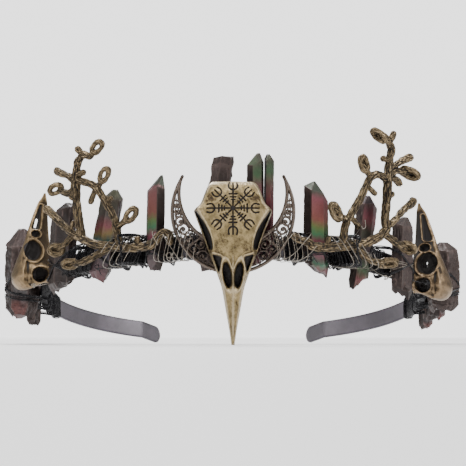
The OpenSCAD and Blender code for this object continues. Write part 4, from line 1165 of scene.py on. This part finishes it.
def twig_parts(branches, eyes, buds, seed):
    """Skin of a twig's branches, eyelets and buds, and the trace of all of them. Each part starts at
    another distance along the bark's noise, so that no two look alike."""
    skins, traces = [], []
    for i, rows in enumerate(branches):
        rows = np.array(rows, float)
        line = spline(rows, 14 * len(rows))
        path = around(line[:, 0], TWIG_R, line[:, 1])
        towards = unit(np.array([path[0, 0], path[0, 1] - CENTRE_Y, 0]))
        skins.append(bark_tube(path, line[:, 2], seed + i, towards=towards))
        traces.append(bark_trace(path, line[:, 2], towards, False, 1.0, 31 * i))
    for i, row in enumerate(eyes):
        path, radii, front = eye_ring(row)
        skins.append(bark_tube(path, radii, seed + 30 + i, 16, True, front))
        if row[6]:
            skins.append(eye_floor(row))
        traces.append(bark_trace(path, radii, front, True, 0.35, 300 + 31 * i))
    for i, (angle, height, tip_angle, tip_height, r) in enumerate(buds):
        ends = np.stack([around(angle, TWIG_R, height), around(tip_angle, TWIG_R + 0.3, tip_height)])
        path = ends[0] + np.linspace(0, 1, 7)[:, None] * (ends[1] - ends[0])
        towards = unit(np.cross(path[-1] - path[0], [0.1, 1, 0.2]))
        skins.append(bark_tube(path, r * np.linspace(0.8, 0.98, 7), seed + 60 + i, 16))
        traces.append(bark_trace(path, r, towards, False, 0.7, 600 + 9 * i))
    return joined(skins), np.vstack(traces)


def nearest_rows(trace, spots):
    """For each spot the row of the trace whose branch has its surface nearest to the spot."""
    places, radii = trace[:, :3], trace[:, 10]
    nearest = []
    for some in np.array_split(spots, 1 + len(spots) // 8000):
        squares = (some ** 2).sum(1)[:, None] - 2 * some @ places.T + (places ** 2).sum(1)
        nearest.append((np.sqrt(np.maximum(squares, 0)) - radii).argmin(1))
    return trace[np.concatenate(nearest)]


def twig(branches, eyes, buds, seed):
    """One twig: its parts melted together, then furrowed like bark. Furrows lie where a noise that
    is drawn out along the nearest branch crosses 0. Returns the mesh, how dark it is and its places
    round and along the branch."""
    skin, trace = twig_parts(branches, eyes, buds, seed)
    mesh = finished_mesh(skin, ("REMESH", {"mode": "VOXEL", "voxel_size": MELT * MM}),
                         ("SMOOTH", {"factor": 0.5, "iterations": 2}))
    spots, normals = points_of(mesh)
    here = nearest_rows(trace, spots)
    up, side, run, furrowed = here[:, 3:6], here[:, 6:9], here[:, 9], here[:, 11]
    arm = spots - here[:, :3]
    phi = np.arctan2((arm * side).sum(1), (arm * up).sum(1))
    # Round the branch the noise runs on a circle; along it the places are drawn together
    drawn = np.stack([BARK_R * np.cos(phi), BARK_R * np.sin(phi), BARK_RUN * run], -1)
    furrow = bell(ripples(drawn, 0.9, seed + 90, 24), 0, 0.5) * furrowed
    fibres = ripples(drawn * [1, 1, 0.8], 0.45, seed + 91, 24)
    knobs = ripples(spots, 2.2, seed + 92, 16)
    move_points(mesh, spots + normals * (0.12 - 0.2 * furrow + 0.04 * fibres + 0.06 * knobs)[:, None])
    # Dark in the furrows with patina; through the hollowness the hollows get painted shade and the ridges a
    # painted highlight, with wear
    dark = 0.8 * furrow - 0.4 + 0.15 * fibres + 0.5 * hollowness(mesh, 8, 0.07)
    return mesh, {"patina": dark, "across": drawn[:, 0] * MM, "beside": drawn[:, 1] * MM,
                  "run": BARK_STRETCH * run * MM}


# The quartz

def quartz_section(name):
    """Corners of a quartz point's section, as wide and as deep as that of the crown's solid."""
    phi = np.radians(60 * np.arange(6) + 20 + CRYSTAL_LOOKS[name][4])
    corners = np.stack([np.cos(phi), np.sin(phi)], -1)
    return corners * np.array(CRYSTALS[name][4:6]) / 2 / np.abs(corners).max(0)


def blended(six, side, share):
    """Of numbers for the six corners or faces, a side's own where the share is 0 and the next one's
    where it is 1."""
    return six[..., side] * (1 - share) + six[..., (side + 1) % 6] * share


def quartz_sink(name, spots, side, along, seed, rng):
    """How far the faces are sunk at places on the plain point: growth ledges that lie a little
    aslant on each face, chipped edges and, on a rough point, flutes and dimples."""
    _, foot, _, tip, w, *_ = CRYSTALS[name]
    rough = CRYSTAL_LOOKS[name][0]
    near_edge = 1 - np.abs(2 * along - 1)
    ledges = np.zeros(spots.shape[:2])
    for face in range(6):
        levels = np.sort(rng.uniform(0, tip - foot, 7))
        drops = rng.uniform(-0.05, 0.05, 7) * (1 + rough)
        local = spots[..., 2] + rng.uniform(-0.35, 0.35) * (along - 0.5) * w
        depth = sum(drop * step(level - 0.06, level + 0.06, local) for level, drop in zip(levels, drops))
        ledges += np.where(side == face, depth, 0) * np.minimum(1, 6 * near_edge)
    chips = np.maximum(ripples(spots, 1.7, seed + 1, 20) - 0.35, 0) * (1 - step(0, 0.35, near_edge))
    flutes = np.abs(ripples(spots * [1.0, 1.0, 0.16], 1.25, seed + 2, 20)) * rough
    dimples = np.abs(ripples(spots, 0.8, seed + 3, 20)) * rough
    return np.clip(np.abs(ledges) + 0.2 * chips * (0.3 + rough) + 0.34 * flutes + 0.1 * dimples, 0, 0.9)


def quartz_grid(name, steps, side, along, seed, rng):
    """Rings of a point on its foot, with straight lines between the rings of the crown's solid. A
    ring is given by its step (0 the foot, 3 the shoulder, 4 the tip) and a place on it by its side
    and the share of the way along that side."""
    _, foot, shoulder, tip, w, _, lean, place, share, _ = CRYSTALS[name]
    rough, _, _, foot_place, _, slant, cut = CRYSTAL_LOOKS[name]
    height = tip - foot
    # Columns: height, width, how far the lean has come, all as shares, and how uneven the ring is
    stations = np.array([[0, 0.6, 0, 1.4], [0.12, 0.94, 0.12, 0.8], [0.5, 1, 0.5, 0],
                         [(shoulder - foot) / height, 0.96, 0.93, 1.1], [0.985, share, 1, 0.5]])
    up, width, leaned, uneven = (np.interp(steps, np.arange(5), column)[:, None] for column in stations.T)
    across, deep = blended(quartz_section(name).T, side, along)
    from_middle = across / (w / 2)
    # Uneven corners, a slanted shoulder and a jagged foot that is cut back on one side
    lift = np.where(np.arange(6) % 2 == 0, 0.5, -0.3) + rng.uniform(-0.12, 0.12, 6)
    jags = rng.uniform(0, 1, 18) ** 1.5
    jags = np.interp(3 * (side + along), np.arange(19), np.append(jags, jags[0])) * (1.0 + 1.6 * rough)
    low = np.clip(1 - steps / 1.4, 0, 1)[:, None]
    tilt = slant * np.clip(1 - np.abs(steps - 3), 0, 1)[:, None] * from_middle
    z = height * up + uneven * blended(lift, side, along) - tilt \
        + 0.6 * np.clip(1 - steps, 0, 1)[:, None] + low * jags
    z = z + low * abs(cut) * (0.5 - math.copysign(0.5, cut) * from_middle) ** 1.3
    sink = quartz_sink(name, np.stack(np.broadcast_arrays(across, deep, z), -1), side, along, seed, rng)
    shape = width * (1 + (0.25 * rough - sink) / (w / 2))
    skew = np.clip(steps - 3, 0, 1)[:, None] * (1 - share) * place * w / 2
    x = across * shape + lean * (leaned - 0.5) + skew + low * foot_place * w / 2 * 0.5
    grid = np.stack([x, -deep * shape, z], -1)
    peak = grid[-1].mean(0) + [0, 0, 0.012 * height]
    return np.concatenate([grid, np.stack([peak + (grid[-1] - peak) * s for s in (0.6, 0.25)])])


def quartz_marks(name, up, steps, side, along, rng):
    """What the finish reads: how far up a place is, how dark its face is, where it glows and its edges. A
    point that shows bands is dark on its other faces, as painted shade, and glows over its whole tip, as
    painted light; the edges carry a painted highlight."""
    lit = CRYSTAL_LOOKS[name][2]
    lights = np.isin(np.arange(6), lit).astype(float)
    shades = np.stack([0.85 * (1 - lights) if lit else rng.uniform(0, 1, 6), lights])
    face, glow = blended(shades, side, step(0.86, 1.0, along))
    # The two small rings that close the tip count as its own
    steps = np.append(steps, [4, 4])[:, None]
    glow = np.maximum(glow, (steps > 3) * bool(lit))
    # The edges and the shoulder are marked for a painted highlight
    edge = np.maximum(1 - step(0, 0.2, 1 - np.abs(2 * along - 1)), bell(steps, 3, 0.1))
    marks = {"tint": up, "face": face, "glow": glow, "edge": edge}
    return {key: np.broadcast_to(numbers, up.shape).ravel() for key, numbers in marks.items()}


def quartz_point(name, seed):
    """A six-sided point's skin and the numbers that its finish reads."""
    angle, foot, _, tip, _, d, *_, gap = CRYSTALS[name]
    rng = np.random.default_rng(seed)
    # Steps of the rings up the point, and the sides of the places on them with the way along each
    steps, per_side = stretches((0, 1, 2, 3, 4), (9, 24, 24, 15)), 9
    place = np.arange(6 * per_side) / per_side
    side, along = place.astype(int), place % 1
    grid = quartz_grid(name, steps, side, along, seed, rng)
    marks = quartz_marks(name, grid[..., 2] / (tip - foot), steps, side, along, rng)
    placed = beside(angle, CRYSTAL_IN_R + gap + d / 2 + grid[..., 1], grid[..., 0], foot + grid[..., 2])
    return skin_of(placed), marks


# The wire

def plane_angle(angle):
    """Angle in the leaning plane of the band that lies under an angle from the front, in radians."""
    angle = np.radians(angle)
    return np.arctan2(np.sin(angle) * math.cos(BAND_TILT), np.cos(angle))


def band_height(angle):
    """Height of the middle of the band under an angle from the front."""
    return RING_Z + BAND_R * np.cos(plane_angle(angle)) * math.sin(BAND_TILT)


def wound_sleeve(start, end, wire_r, seed):
    """Wire wound side by side round the band: a rounded rectangle traced again and again while its
    place moves along the arc, with a little unevenness."""
    turns = int(abs(end - start) * math.pi / 180 * BAND_R / (2.15 * wire_r))
    t = np.linspace(0, 1, turns * 16)
    phase = 2 * math.pi * turns * t
    rng = np.random.default_rng(seed)
    drift = sum(np.sin(2 * math.pi * k * t + rng.uniform(0, 6)) / k for k in (11, 17, 29)) * 0.09
    angle = np.radians(start + 0.35 + (end - start - 0.7) * t) + drift / BAND_R
    lift = SLEEVE_GAP + wire_r + 0.02 + 0.05 * np.abs(np.sin(phase * 0.37))
    across = boxy(np.cos(phase), 0.5) * (BAND_T / 2 + lift)
    up = boxy(np.sin(phase), 0.5) * (BAND_W / 2 + lift)
    mid = BAND_R - BAND_T / 2 + across
    path = on_band(np.stack([mid * np.sin(angle), -mid * np.cos(angle), up], -1))
    tangent = on_band(np.stack([np.cos(angle), np.sin(angle), 0 * angle], -1)) - on_band(np.zeros(3))
    return tube(path, wire_r, 5, tangent)


def wrap_path(angle, half, front, depth, climb, offset, nudge):
    """Two turns of a strand that cross in front of what they hold and go round the back of the
    band, as the crown's solid wire does; nudge shifts it in width, height and distance."""
    plane = plane_angle(angle)
    shrink = math.hypot(math.sin(plane), math.cos(plane) * math.cos(BAND_TILT))
    lean, slope = math.sin(BAND_TILT) * math.cos(plane), -math.sin(BAND_TILT) * math.sin(plane)
    rise = BAND_W / 2 + SLEEVE_GAP + SLEEVE_T + SNUG
    inside = (BAND_R - BAND_T - SLEEVE_GAP - SLEEVE_T) * shrink - SNUG \
        - (half + BUNDLE_R + abs(offset)) ** 2 / (2 * BAND_R)
    outside = (BAND_R + SLEEVE_GAP + SLEEVE_T) * shrink + SNUG
    middle = (BAND_R - BAND_T / 2) * shrink
    wide, tall, out = nudge
    half, rise, front = half + wide, rise + tall, front + out
    over, low = front + 0.5, rise * climb
    # Columns: place from left to right, distance from the axis, height over the band's middle
    turns = np.array([
        [-half, outside, -rise], [-half, front - depth, -low], [-half * 0.6, front, -low / 2],
        [half * 0.6, front, low / 2], [half, front - depth, low], [half, outside, rise],
        [half, inside, rise], [half, inside - 0.1, 0], [half, inside, -rise],
        [half, outside + 0.2, -rise], [half, over - depth, -low], [half * 0.6, over, -low / 2],
        [-half * 0.6, over, low / 2], [-half, over - depth, low], [-half, outside + 0.2, rise],
        [-half, inside, rise], [-half, inside - 0.1, 0], [-half, inside, -rise]])
    x = turns[:, 0] + offset
    hugs = np.where(turns[:, 1] < outside + 0.5, lean, 0)
    flat = np.stack([x, turns[:, 1] - hugs * turns[:, 2],
                     band_height(angle) + turns[:, 2] + x * slope + hugs * (turns[:, 1] - middle)], -1)
    path = spline(flat, 112, True)
    return beside(angle, path[:, 1], path[:, 0], path[:, 2])


def hugged(path, name, gap):
    """Pulls a wire in until it lies `gap` off a quartz point. The section reaches out along a way
    by the least, over its sides, of a side's distance over the cosine between way and side."""
    angle, foot, _, tip, _, d, lean, _, _, ahead = CRYSTALS[name]
    turn = math.radians(angle)
    axes = np.array([[math.cos(turn), math.sin(turn), 0], [math.sin(turn), -math.cos(turn), 0]])
    local = (path - around(angle, CRYSTAL_IN_R + ahead + d / 2, 0)) @ axes.T
    local[:, 0] -= lean * ((path[:, 2] - foot) / (tip - foot) - 0.5)
    corners = quartz_section(name) * [1, -1]
    sides = unit(np.roll(corners, -1, 0) - corners) @ np.array([[0, 1], [-1, 0]])
    away = (corners * sides).sum(1) + gap
    limit = np.minimum((away / np.maximum(local @ sides.T, 1e-6)).min(1), 1)
    ahead_of_band = step(-d / 2 - 0.5, -d / 2 + 1.0, local[:, 1])
    return path - (local * (ahead_of_band * (1 - limit))[:, None]) @ axes


def wrap(angle, half, front, depth, climb, offset, strands, wire_r, seed, name=None):
    """A bundle of strands on nearly the same wrap, tight on a quartz point if one is named."""
    rng = np.random.default_rng(seed)
    tangent = np.array([math.cos(math.radians(angle)), math.sin(math.radians(angle)), 0.35])
    skins = []
    for k in range(strands):
        nudge = (rng.uniform(-0.05, 0.28),
                 (k - (strands - 1) / 2) * 1.24 * wire_r + rng.uniform(-0.1, 0.1),
                 rng.uniform(-0.1, 0.25))
        path = wrap_path(angle, half, front, depth, climb, offset, nudge)
        if name:
            path = hugged(path, name, wire_r)
        skins.append(tube(path + ripples(path, 6, seed + k)[:, None] * 0.06, wire_r, 5, tangent, True))
    return joined(skins)


def winding(start, end, near, far, low, high, turns, seed, slant):
    """Wire wound round a bundle: while its angle moves from one end to the other it runs round a
    rounded rectangle of distance and height over the band, which leans with the band, and its
    sides shift from turn to turn."""
    rng = np.random.default_rng(seed)
    t = np.linspace(0, turns, turns * 22)
    keys = np.arange(turns + 1)
    jitter = [np.interp(t, keys, rng.uniform(-1, 1, len(keys))) for _ in range(4)]
    c, s = boxy(np.cos(2 * math.pi * t), 0.5), boxy(np.sin(2 * math.pi * t), 0.5)
    rise = (low + high) / 2 + (high - low) / 2 * s * (1 + 0.08 * jitter[2]) + 0.12 * jitter[3]
    angle = start + (end - start) * t / turns + slant * s + 0.3 * jitter[1]
    radius = (near + far) / 2 + (far - near) / 2 * c * (1 + 0.04 * jitter[0]) + 0.08 * jitter[1]
    radius = radius - math.sin(BAND_TILT) * np.cos(plane_angle(angle)) * rise
    return around(angle, radius, band_height(angle) + rise)


def curl(angle, radius, height, size, turns, heading, seed):
    """A stray end: a wire that leaves the wound band, sagging by a half sine, and ends in a spiral
    that opens into a tail at a heading."""
    rng = np.random.default_rng(seed)
    t = np.linspace(0, 1, int(26 * turns) + 14)
    phase = 2 * math.pi * turns * np.minimum(t * 1.3, 1) + rng.uniform(0, 6)
    spread = size * (0.55 + 0.45 * t)
    tail = np.maximum(t - 0.77, 0) * 9 * size
    x = spread * np.cos(phase) + tail * math.cos(math.radians(heading))
    z = spread * np.sin(phase) + tail * math.sin(math.radians(heading))
    spiral = around(angle + np.degrees(x / radius), radius + 0.5 * np.sin(2.2 * phase) * size, height + z)
    middle = band_height(angle)
    root = around(angle + 1.8, BAND_R + 0.45, middle + np.clip(height - middle, -2.4, 2.4))
    f = np.linspace(0, 1, 12)[:-1, None]
    return np.concatenate([root + (spiral[0] - root) * f - np.sin(math.pi * f) * [0, 0, 0.5], spiral])


def snarl(angle, height, wide, tall, near, far, turns, seed):
    """Turns of wire laid round something: a tilted ellipse in width, height and distance from the
    axis, drifting from turn to turn."""
    rng = np.random.default_rng(seed)
    t = np.linspace(0, turns, turns * 36)
    phase = 2 * math.pi * t
    keys = np.arange(turns + 2)
    jitter = [np.interp(t, keys, rng.uniform(-1, 1, len(keys))) for _ in range(4)]
    x = wide * boxy(np.cos(phase), 0.8) * (1 + 0.07 * jitter[0])
    z = tall * (np.sin(phase + 2.2 * jitter[2]) + 1.2 * jitter[3])
    radius = (near + far) / 2 + (far - near) / 2 * boxy(np.sin(phase), 0.8) + 0.12 * jitter[2]
    return around(angle + np.degrees(x / radius), radius, height + z)


# Properties

def colour_property(name, description, default):
    """A colour that a user can set."""
    return bpy.props.FloatVectorProperty(name=name, description=description, subtype="COLOR",
                                         size=3, min=0, max=1, default=default)


class CrownSizes(bpy.types.PropertyGroup):
    """Sizes of the wire and the stage."""

    sleeve_wire: bpy.props.FloatProperty(
        name="Sleeve wire", description="Radius of the wire wound round the band", unit="LENGTH",
        default=0.00031, precision=5)
    binding_wire: bpy.props.FloatProperty(
        name="Binding wire", description="Radius of a strand that binds a piece", unit="LENGTH",
        default=0.00019, precision=5)
    fine_wire: bpy.props.FloatProperty(
        name="Fine wire", description="Radius of the loose fine wire", unit="LENGTH",
        default=0.00011, precision=5)
    strands: bpy.props.IntProperty(
        name="Strands", description="Strands in each binding", default=4, min=1, max=8)
    camera_back: bpy.props.FloatProperty(
        name="Camera distance", description="From the camera to the middle of the band", unit="LENGTH",
        default=0.553)
    camera_up: bpy.props.FloatProperty(
        name="Camera height", description="Height of the camera above the floor", unit="LENGTH",
        default=0.003)


class CrownColours(bpy.types.PropertyGroup):
    """Colours of the finishes."""

    gunmetal: colour_property("Gunmetal", "Brushed strip of the band", (0.135, 0.125, 0.138))
    bronze: colour_property("Bronze", "Worn metal of the skulls", (0.215, 0.162, 0.08))
    # The patina colour also paints shade into the hollows of the castings
    patina: colour_property("Patina", "Brown in the hollows of the castings", (0.055, 0.036, 0.018))
    bark: colour_property("Bark", "Worn metal of the twigs", (0.087, 0.065, 0.039))
    copper: colour_property("Copper", "Edges of the moon", (0.07, 0.053, 0.042))
    plum: colour_property("Plum", "Coating of the quartz", (0.055, 0.038, 0.034))
    enamel: colour_property("Enamel", "Black wire", (0.005, 0.0045, 0.006))
    steel: colour_property("Steel", "Fine pale wire", (0.27, 0.24, 0.205))
    floor: colour_property("Floor", "Floor and surroundings", (0.92, 0.92, 0.92))


# Operators: one for each group of pieces

def studio_light(tree, pale):
    """A pale room to look at that reflects as a dim one with a bright ceiling: brightness seen in
    a reflection rises with the upward part of its direction."""
    tree.nodes.clear()

    def add(kind, sockets, **settings):
        made = tree.nodes.new("ShaderNode" + kind)
        for key, value in settings.items():
            setattr(made, key, value)
        for key, value in sockets.items():
            if isinstance(value, bpy.types.NodeSocket):
                tree.links.new(value, made.inputs[key])
            else:
                made.inputs[key].default_value = value
        return made

    way = add("SeparateXYZ", {0: add("TexCoord", {}).outputs["Generated"]})
    up = add("MapRange", {0: way.outputs[2], 1: -0.1, 2: 0.8, 3: 0.10, 4: 0.75},
             interpolation_type="SMOOTHSTEP")
    room = add("Background", {0: (1.0, 1.0, 1.0, 1.0), 1: up.outputs[0]})
    seen = add("Background", {0: (*pale, 1.0), 1: SURROUND})
    eye = add("LightPath", {}).outputs["Is Camera Ray"]
    mix = add("MixShader", {0: eye, 1: room.outputs[0], 2: seen.outputs[0]})
    add("OutputWorld", {0: mix.outputs[0]})


class CROWN_OT_band(bpy.types.Operator):
    """Make the brushed steel band with its two tabs"""

    bl_idname = "crown.band"
    bl_label = "Band"

    def execute(self, context):
        skin, run, edge = band_mesh()
        piece("steel_band", bare_mesh("steel_band", skin), strip_finish(context.scene.crown_colours),
              "gunmetal_steel", ["headband"], crease=32, run=run, edge=edge)
        return {"FINISHED"}


class CROWN_OT_skulls(bpy.types.Operator):
    """Make the centre skull with its stave and the two side skulls"""

    bl_idname = "crown.skulls"
    bl_label = "Raven skulls"

    def execute(self, context):
        colours = context.scene.crown_colours
        bright, dark = tuple(colours.bronze), tuple(colours.patina)
        finish = cast_finish("antique_bronze", bright, dark, SKULL_HOLLOW, 2.6, 1.9)
        skin, darkness = centre_skull()
        mesh = bare_mesh("centre_skull", skin)
        # Its hollows are darkened with patina and painted shade, its ridges brightened with wear and painted
        # highlight
        piece("centre_skull", mesh, finish, "antique_bronze", ["raven_skull"], crease=50,
              patina=darkness + 0.3 * hollowness(mesh, 10, 0.05))
        for side, (*row, tint) in SIDE_SKULLS.items():
            finish = cast_finish("brown_bronze_" + side, tuple(c * k for c, k in zip(bright, tint)),
                                 shaded(dark, 0.6), SKULL_HOLLOW, 1.5, 0.5)
            mesh, darkness = side_skull(*row)
            piece("side_skull_" + side, mesh, finish, "antique_bronze", ["raven_skull_" + side],
                  crease=42, patina=darkness)
        return {"FINISHED"}


class CROWN_OT_moon(bpy.types.Operator):
    """Make the pierced moon"""

    bl_idname = "crown.moon"
    bl_label = "Moon"

    def execute(self, context):
        skin, dark = moon_parts()
        finish = cast_finish("dark_bronze", tuple(context.scene.crown_colours.copper), MOON_PATINA_AND_SHADE,
                             MOON_HOLLOW, 3.0, gloss=0.15)
        mesh = bare_mesh("moon", skin)
        # The sides and backs of the bars and the hollows are painted dark as shade, with patina in the
        # hollows
        piece("moon", mesh, finish, "dark_bronze", ["crescent_moon"], crease=50,
              patina=1.3 * dark - 0.25 + 0.4 * hollowness(mesh, 4, 0.05))
        return {"FINISHED"}


class CROWN_OT_twigs(bpy.types.Operator):
    """Make the two bark twigs"""

    bl_idname = "crown.twigs"
    bl_label = "Twigs"

    def execute(self, context):
        finish = bark_finish("bark_bronze", tuple(context.scene.crown_colours.bark), BARK_PATINA_AND_SHADE)
        for side, parts, seed in (("left", (TWIG_LEFT, EYES_LEFT, BUDS_LEFT), 100),
                                  ("right", (TWIG_RIGHT, EYES_RIGHT, BUDS_RIGHT), 300)):
            mesh, values = twig(*parts, seed)
            piece("bark_twig_" + side, mesh, finish, "bark_bronze", ["twig_" + side], crease=60, **values)
        return {"FINISHED"}


class CROWN_OT_quartz(bpy.types.Operator):
    """Make the quartz points"""

    bl_idname = "crown.quartz"
    bl_label = "Quartz"

    def execute(self, context):
        for k, name in enumerate(CRYSTALS):
            rough, coating = CRYSTAL_LOOKS[name][:2]
            skin, values = quartz_point(name, 500 + 7 * k)
            finish = quartz_finish(name, COATINGS[coating], context.scene.crown_colours, rough)
            piece("quartz_" + name, bare_mesh(name, skin), finish, "plum_quartz", ["crystal_" + name],
                  crease=14 + 12 * rough, **values)
        return {"FINISHED"}


class CROWN_OT_sleeves(bpy.types.Operator):
    """Wind the wire round the band"""

    bl_idname = "crown.sleeves"
    bl_label = "Wire sleeves"

    def execute(self, context):
        enamel = wire_finish("black_enamel", tuple(context.scene.crown_colours.enamel), 0.2, 0.0)
        wire_r = context.scene.crown_sizes.sleeve_wire / MM
        for seed, (name, (start, end)) in enumerate(SLEEVES.items()):
            piece("wound_wire_" + name, bare_mesh(name, wound_sleeve(start, end, wire_r, seed)), enamel,
                  "black_wire", ["wire_sleeve_" + name], WIRE_CREASE)
        return {"FINISHED"}


class CROWN_OT_bindings(bpy.types.Operator):
    """Bind the quartz and the twigs to the band"""

    bl_idname = "crown.bindings"
    bl_label = "Bindings"

    def execute(self, context):
        sizes = context.scene.crown_sizes
        enamel = wire_finish("black_binding", tuple(context.scene.crown_colours.enamel), 0.2, 0.0)
        wire_r, count = sizes.binding_wire / MM, sizes.strands
        rise = BAND_W / 2 + SLEEVE_GAP + SLEEVE_T + BUNDLE_R + WIRE_GAP
        skins = {}
        for k, (name, (angle, foot, _, tip, w, d, lean, _, _, gap)) in enumerate(CRYSTALS.items()):
            if name in UNBOUND:
                continue
            height = tip - foot
            offset = lean * ((band_height(angle) - foot) / height - 0.5)
            half = w / 2 + BUNDLE_R + WIRE_GAP + rise * abs(lean) / height
            front = CRYSTAL_IN_R + gap + d + BUNDLE_R + 0.2
            skins[name] = wrap(angle, half - 0.2, front - 0.2, d * 0.4, 0.75, offset, count, wire_r,
                               900 + 10 * k, name)
        for k, (name, angle) in enumerate(TWIG_TIES.items()):
            skins[name] = wrap(angle, 0.62, TWIG_R + 2.1, 0.1, 1.0, 0.0, 3, wire_r, 1200 + 10 * k)
        for name, skin in skins.items():
            piece("binding_" + name, bare_mesh(name, skin), enamel, "black_wire",
                  ["binding_wire_" + name], WIRE_CREASE)
        return {"FINISHED"}


class CROWN_OT_loose_wire(bpy.types.Operator):
    """Lay the loose fine wire"""

    bl_idname = "crown.loose_wire"
    bl_label = "Loose wire"

    def execute(self, context):
        colours, sizes = context.scene.crown_colours, context.scene.crown_sizes
        pale = wire_finish("pale_wire", tuple(colours.steel), 0.3, 1.0)
        black = wire_finish("black_wire", tuple(colours.enamel), 0.2, 0.0)
        fine, strand = sizes.fine_wire / MM, sizes.binding_wire / MM
        paths = [(name, winding(*row, 2000 + k, slant), is_pale)
                 for k, (name, *row, slant, is_pale) in enumerate(WINDINGS)]
        paths += [("ring_" + name, hugged(snarl(CRYSTALS[name][0], *row, 2100 + k), name, fine), is_pale)
                  for k, (name, *row, is_pale) in enumerate(RINGS)]
        paths += [("curl_%d" % k, curl(*row, 2200 + k), k % 2 == 1) for k, row in enumerate(CURLS)]
        for name, path, is_pale in paths:
            outward = unit((path - [0, CENTRE_Y, 0]) * [1, 1, 0])
            skin = tube(path, fine if is_pale else strand * 0.75, 5, outward)
            piece("loose_wire_" + name, bare_mesh(name, skin), pale if is_pale else black,
                  "black_wire", (), WIRE_CREASE)
        return {"FINISHED"}


def pale_floor(pale):
    """A round floor that turns into a glowing backdrop far away."""
    f = Finish("pale_floor")
    far = f.node("VectorMath", {"operation": "LENGTH"}, {0: f.spot()}, out=1).between(0.25, 1.6)
    glow = f.mixed(far, (0.0, 0.0, 0.0), pale)
    finish = f.done(f.mixed(far, pale, (0.0, 0.0, 0.0)), 0.8, 0.0, emission_color=glow,
                    emission_strength=SURROUND)
    rings = np.array([0.02, 0.3, 1.0, 3.0, 9.0, 30.0])[:, None] / MM
    turn = np.linspace(0, 2 * math.pi, 64, endpoint=False)
    grid = np.stack([rings * np.cos(turn), rings * np.sin(turn), 0 * rings * turn], -1)
    mesh = bare_mesh("floor", (grid.reshape(-1, 3), grid_faces(len(rings), 64), [np.arange(64)[::-1]]))
    mesh.flip_normals()
    mesh.materials.append(finish)
    return bpy.data.objects.new("floor", mesh)


class CROWN_OT_stage(bpy.types.Operator):
    """Make the floor, the backdrop, the light and the camera"""

    bl_idname = "crown.stage"
    bl_label = "Stage"

    def execute(self, context):
        scene, sizes = context.scene, context.scene.crown_sizes
        pale = tuple(scene.crown_colours.floor)
        floor = pale_floor(pale)
        scene.collection.objects.link(floor)
        world = bpy.data.worlds.new("studio")
        world.use_nodes = True
        scene.world = world
        studio_light(world.node_tree, pale)
        for name, place, size, power in LAMPS:
            lamp = bpy.data.lights.new(name, "AREA")
            lamp.shape, lamp.size, lamp.energy = "DISK", size, power
            made = bpy.data.objects.new(name, lamp)
            made.location = place
            made.rotation_euler = (Vector(LAMP_AIM) - Vector(place)).to_track_quat("-Z", "Y").to_euler()
            scene.collection.objects.link(made)
        camera = bpy.data.cameras.new("photo_camera")
        camera.sensor_width, camera.lens = 36.0, 36.0 * FOCAL_PX / FRAME_PX
        camera.clip_start, camera.clip_end = 0.01, 20.0
        made = bpy.data.objects.new("photo_camera", camera)
        made.location = (0.0, CENTRE_Y * MM - sizes.camera_back, sizes.camera_up)
        made.rotation_euler = (math.pi / 2 + math.atan2(PITCH_PX, FOCAL_PX), 0.0, 0.0)
        scene.collection.objects.link(made)
        scene.camera = made
        return {"FINISHED"}


class CROWN_PT_panel(bpy.types.Panel):
    """Buttons for every group of pieces"""

    bl_idname = "CROWN_PT_panel"
    bl_label = "Crown"
    bl_space_type = "VIEW_3D"
    bl_region_type = "UI"
    bl_category = "Crown"

    def draw(self, context):
        for operator in OPERATORS:
            self.layout.operator(operator.bl_idname)
        for group in (context.scene.crown_sizes, context.scene.crown_colours):
            for key in group.bl_rna.properties.keys():
                if key not in ("rna_type", "name"):
                    self.layout.prop(group, key)


OPERATORS = (CROWN_OT_band, CROWN_OT_skulls, CROWN_OT_moon, CROWN_OT_twigs, CROWN_OT_quartz,
             CROWN_OT_sleeves, CROWN_OT_bindings, CROWN_OT_loose_wire, CROWN_OT_stage)
CLASSES = (CrownSizes, CrownColours, *OPERATORS, CROWN_PT_panel)


def register():
    """Registers the classes and hangs the settings on the scene."""
    for cls in CLASSES:
        bpy.utils.register_class(cls)
    bpy.types.Scene.crown_sizes = bpy.props.PointerProperty(type=CrownSizes)
    bpy.types.Scene.crown_colours = bpy.props.PointerProperty(type=CrownColours)


def unregister():
    """Takes the settings and the classes away again."""
    del bpy.types.Scene.crown_sizes
    del bpy.types.Scene.crown_colours
    for cls in reversed(CLASSES):
        bpy.utils.unregister_class(cls)


def main():
    """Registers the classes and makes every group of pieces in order."""
    register()
    for operator in OPERATORS:
        group, name = operator.bl_idname.split(".")
        getattr(getattr(bpy.ops, group), name)()


if __name__ == "__main__":
    main()
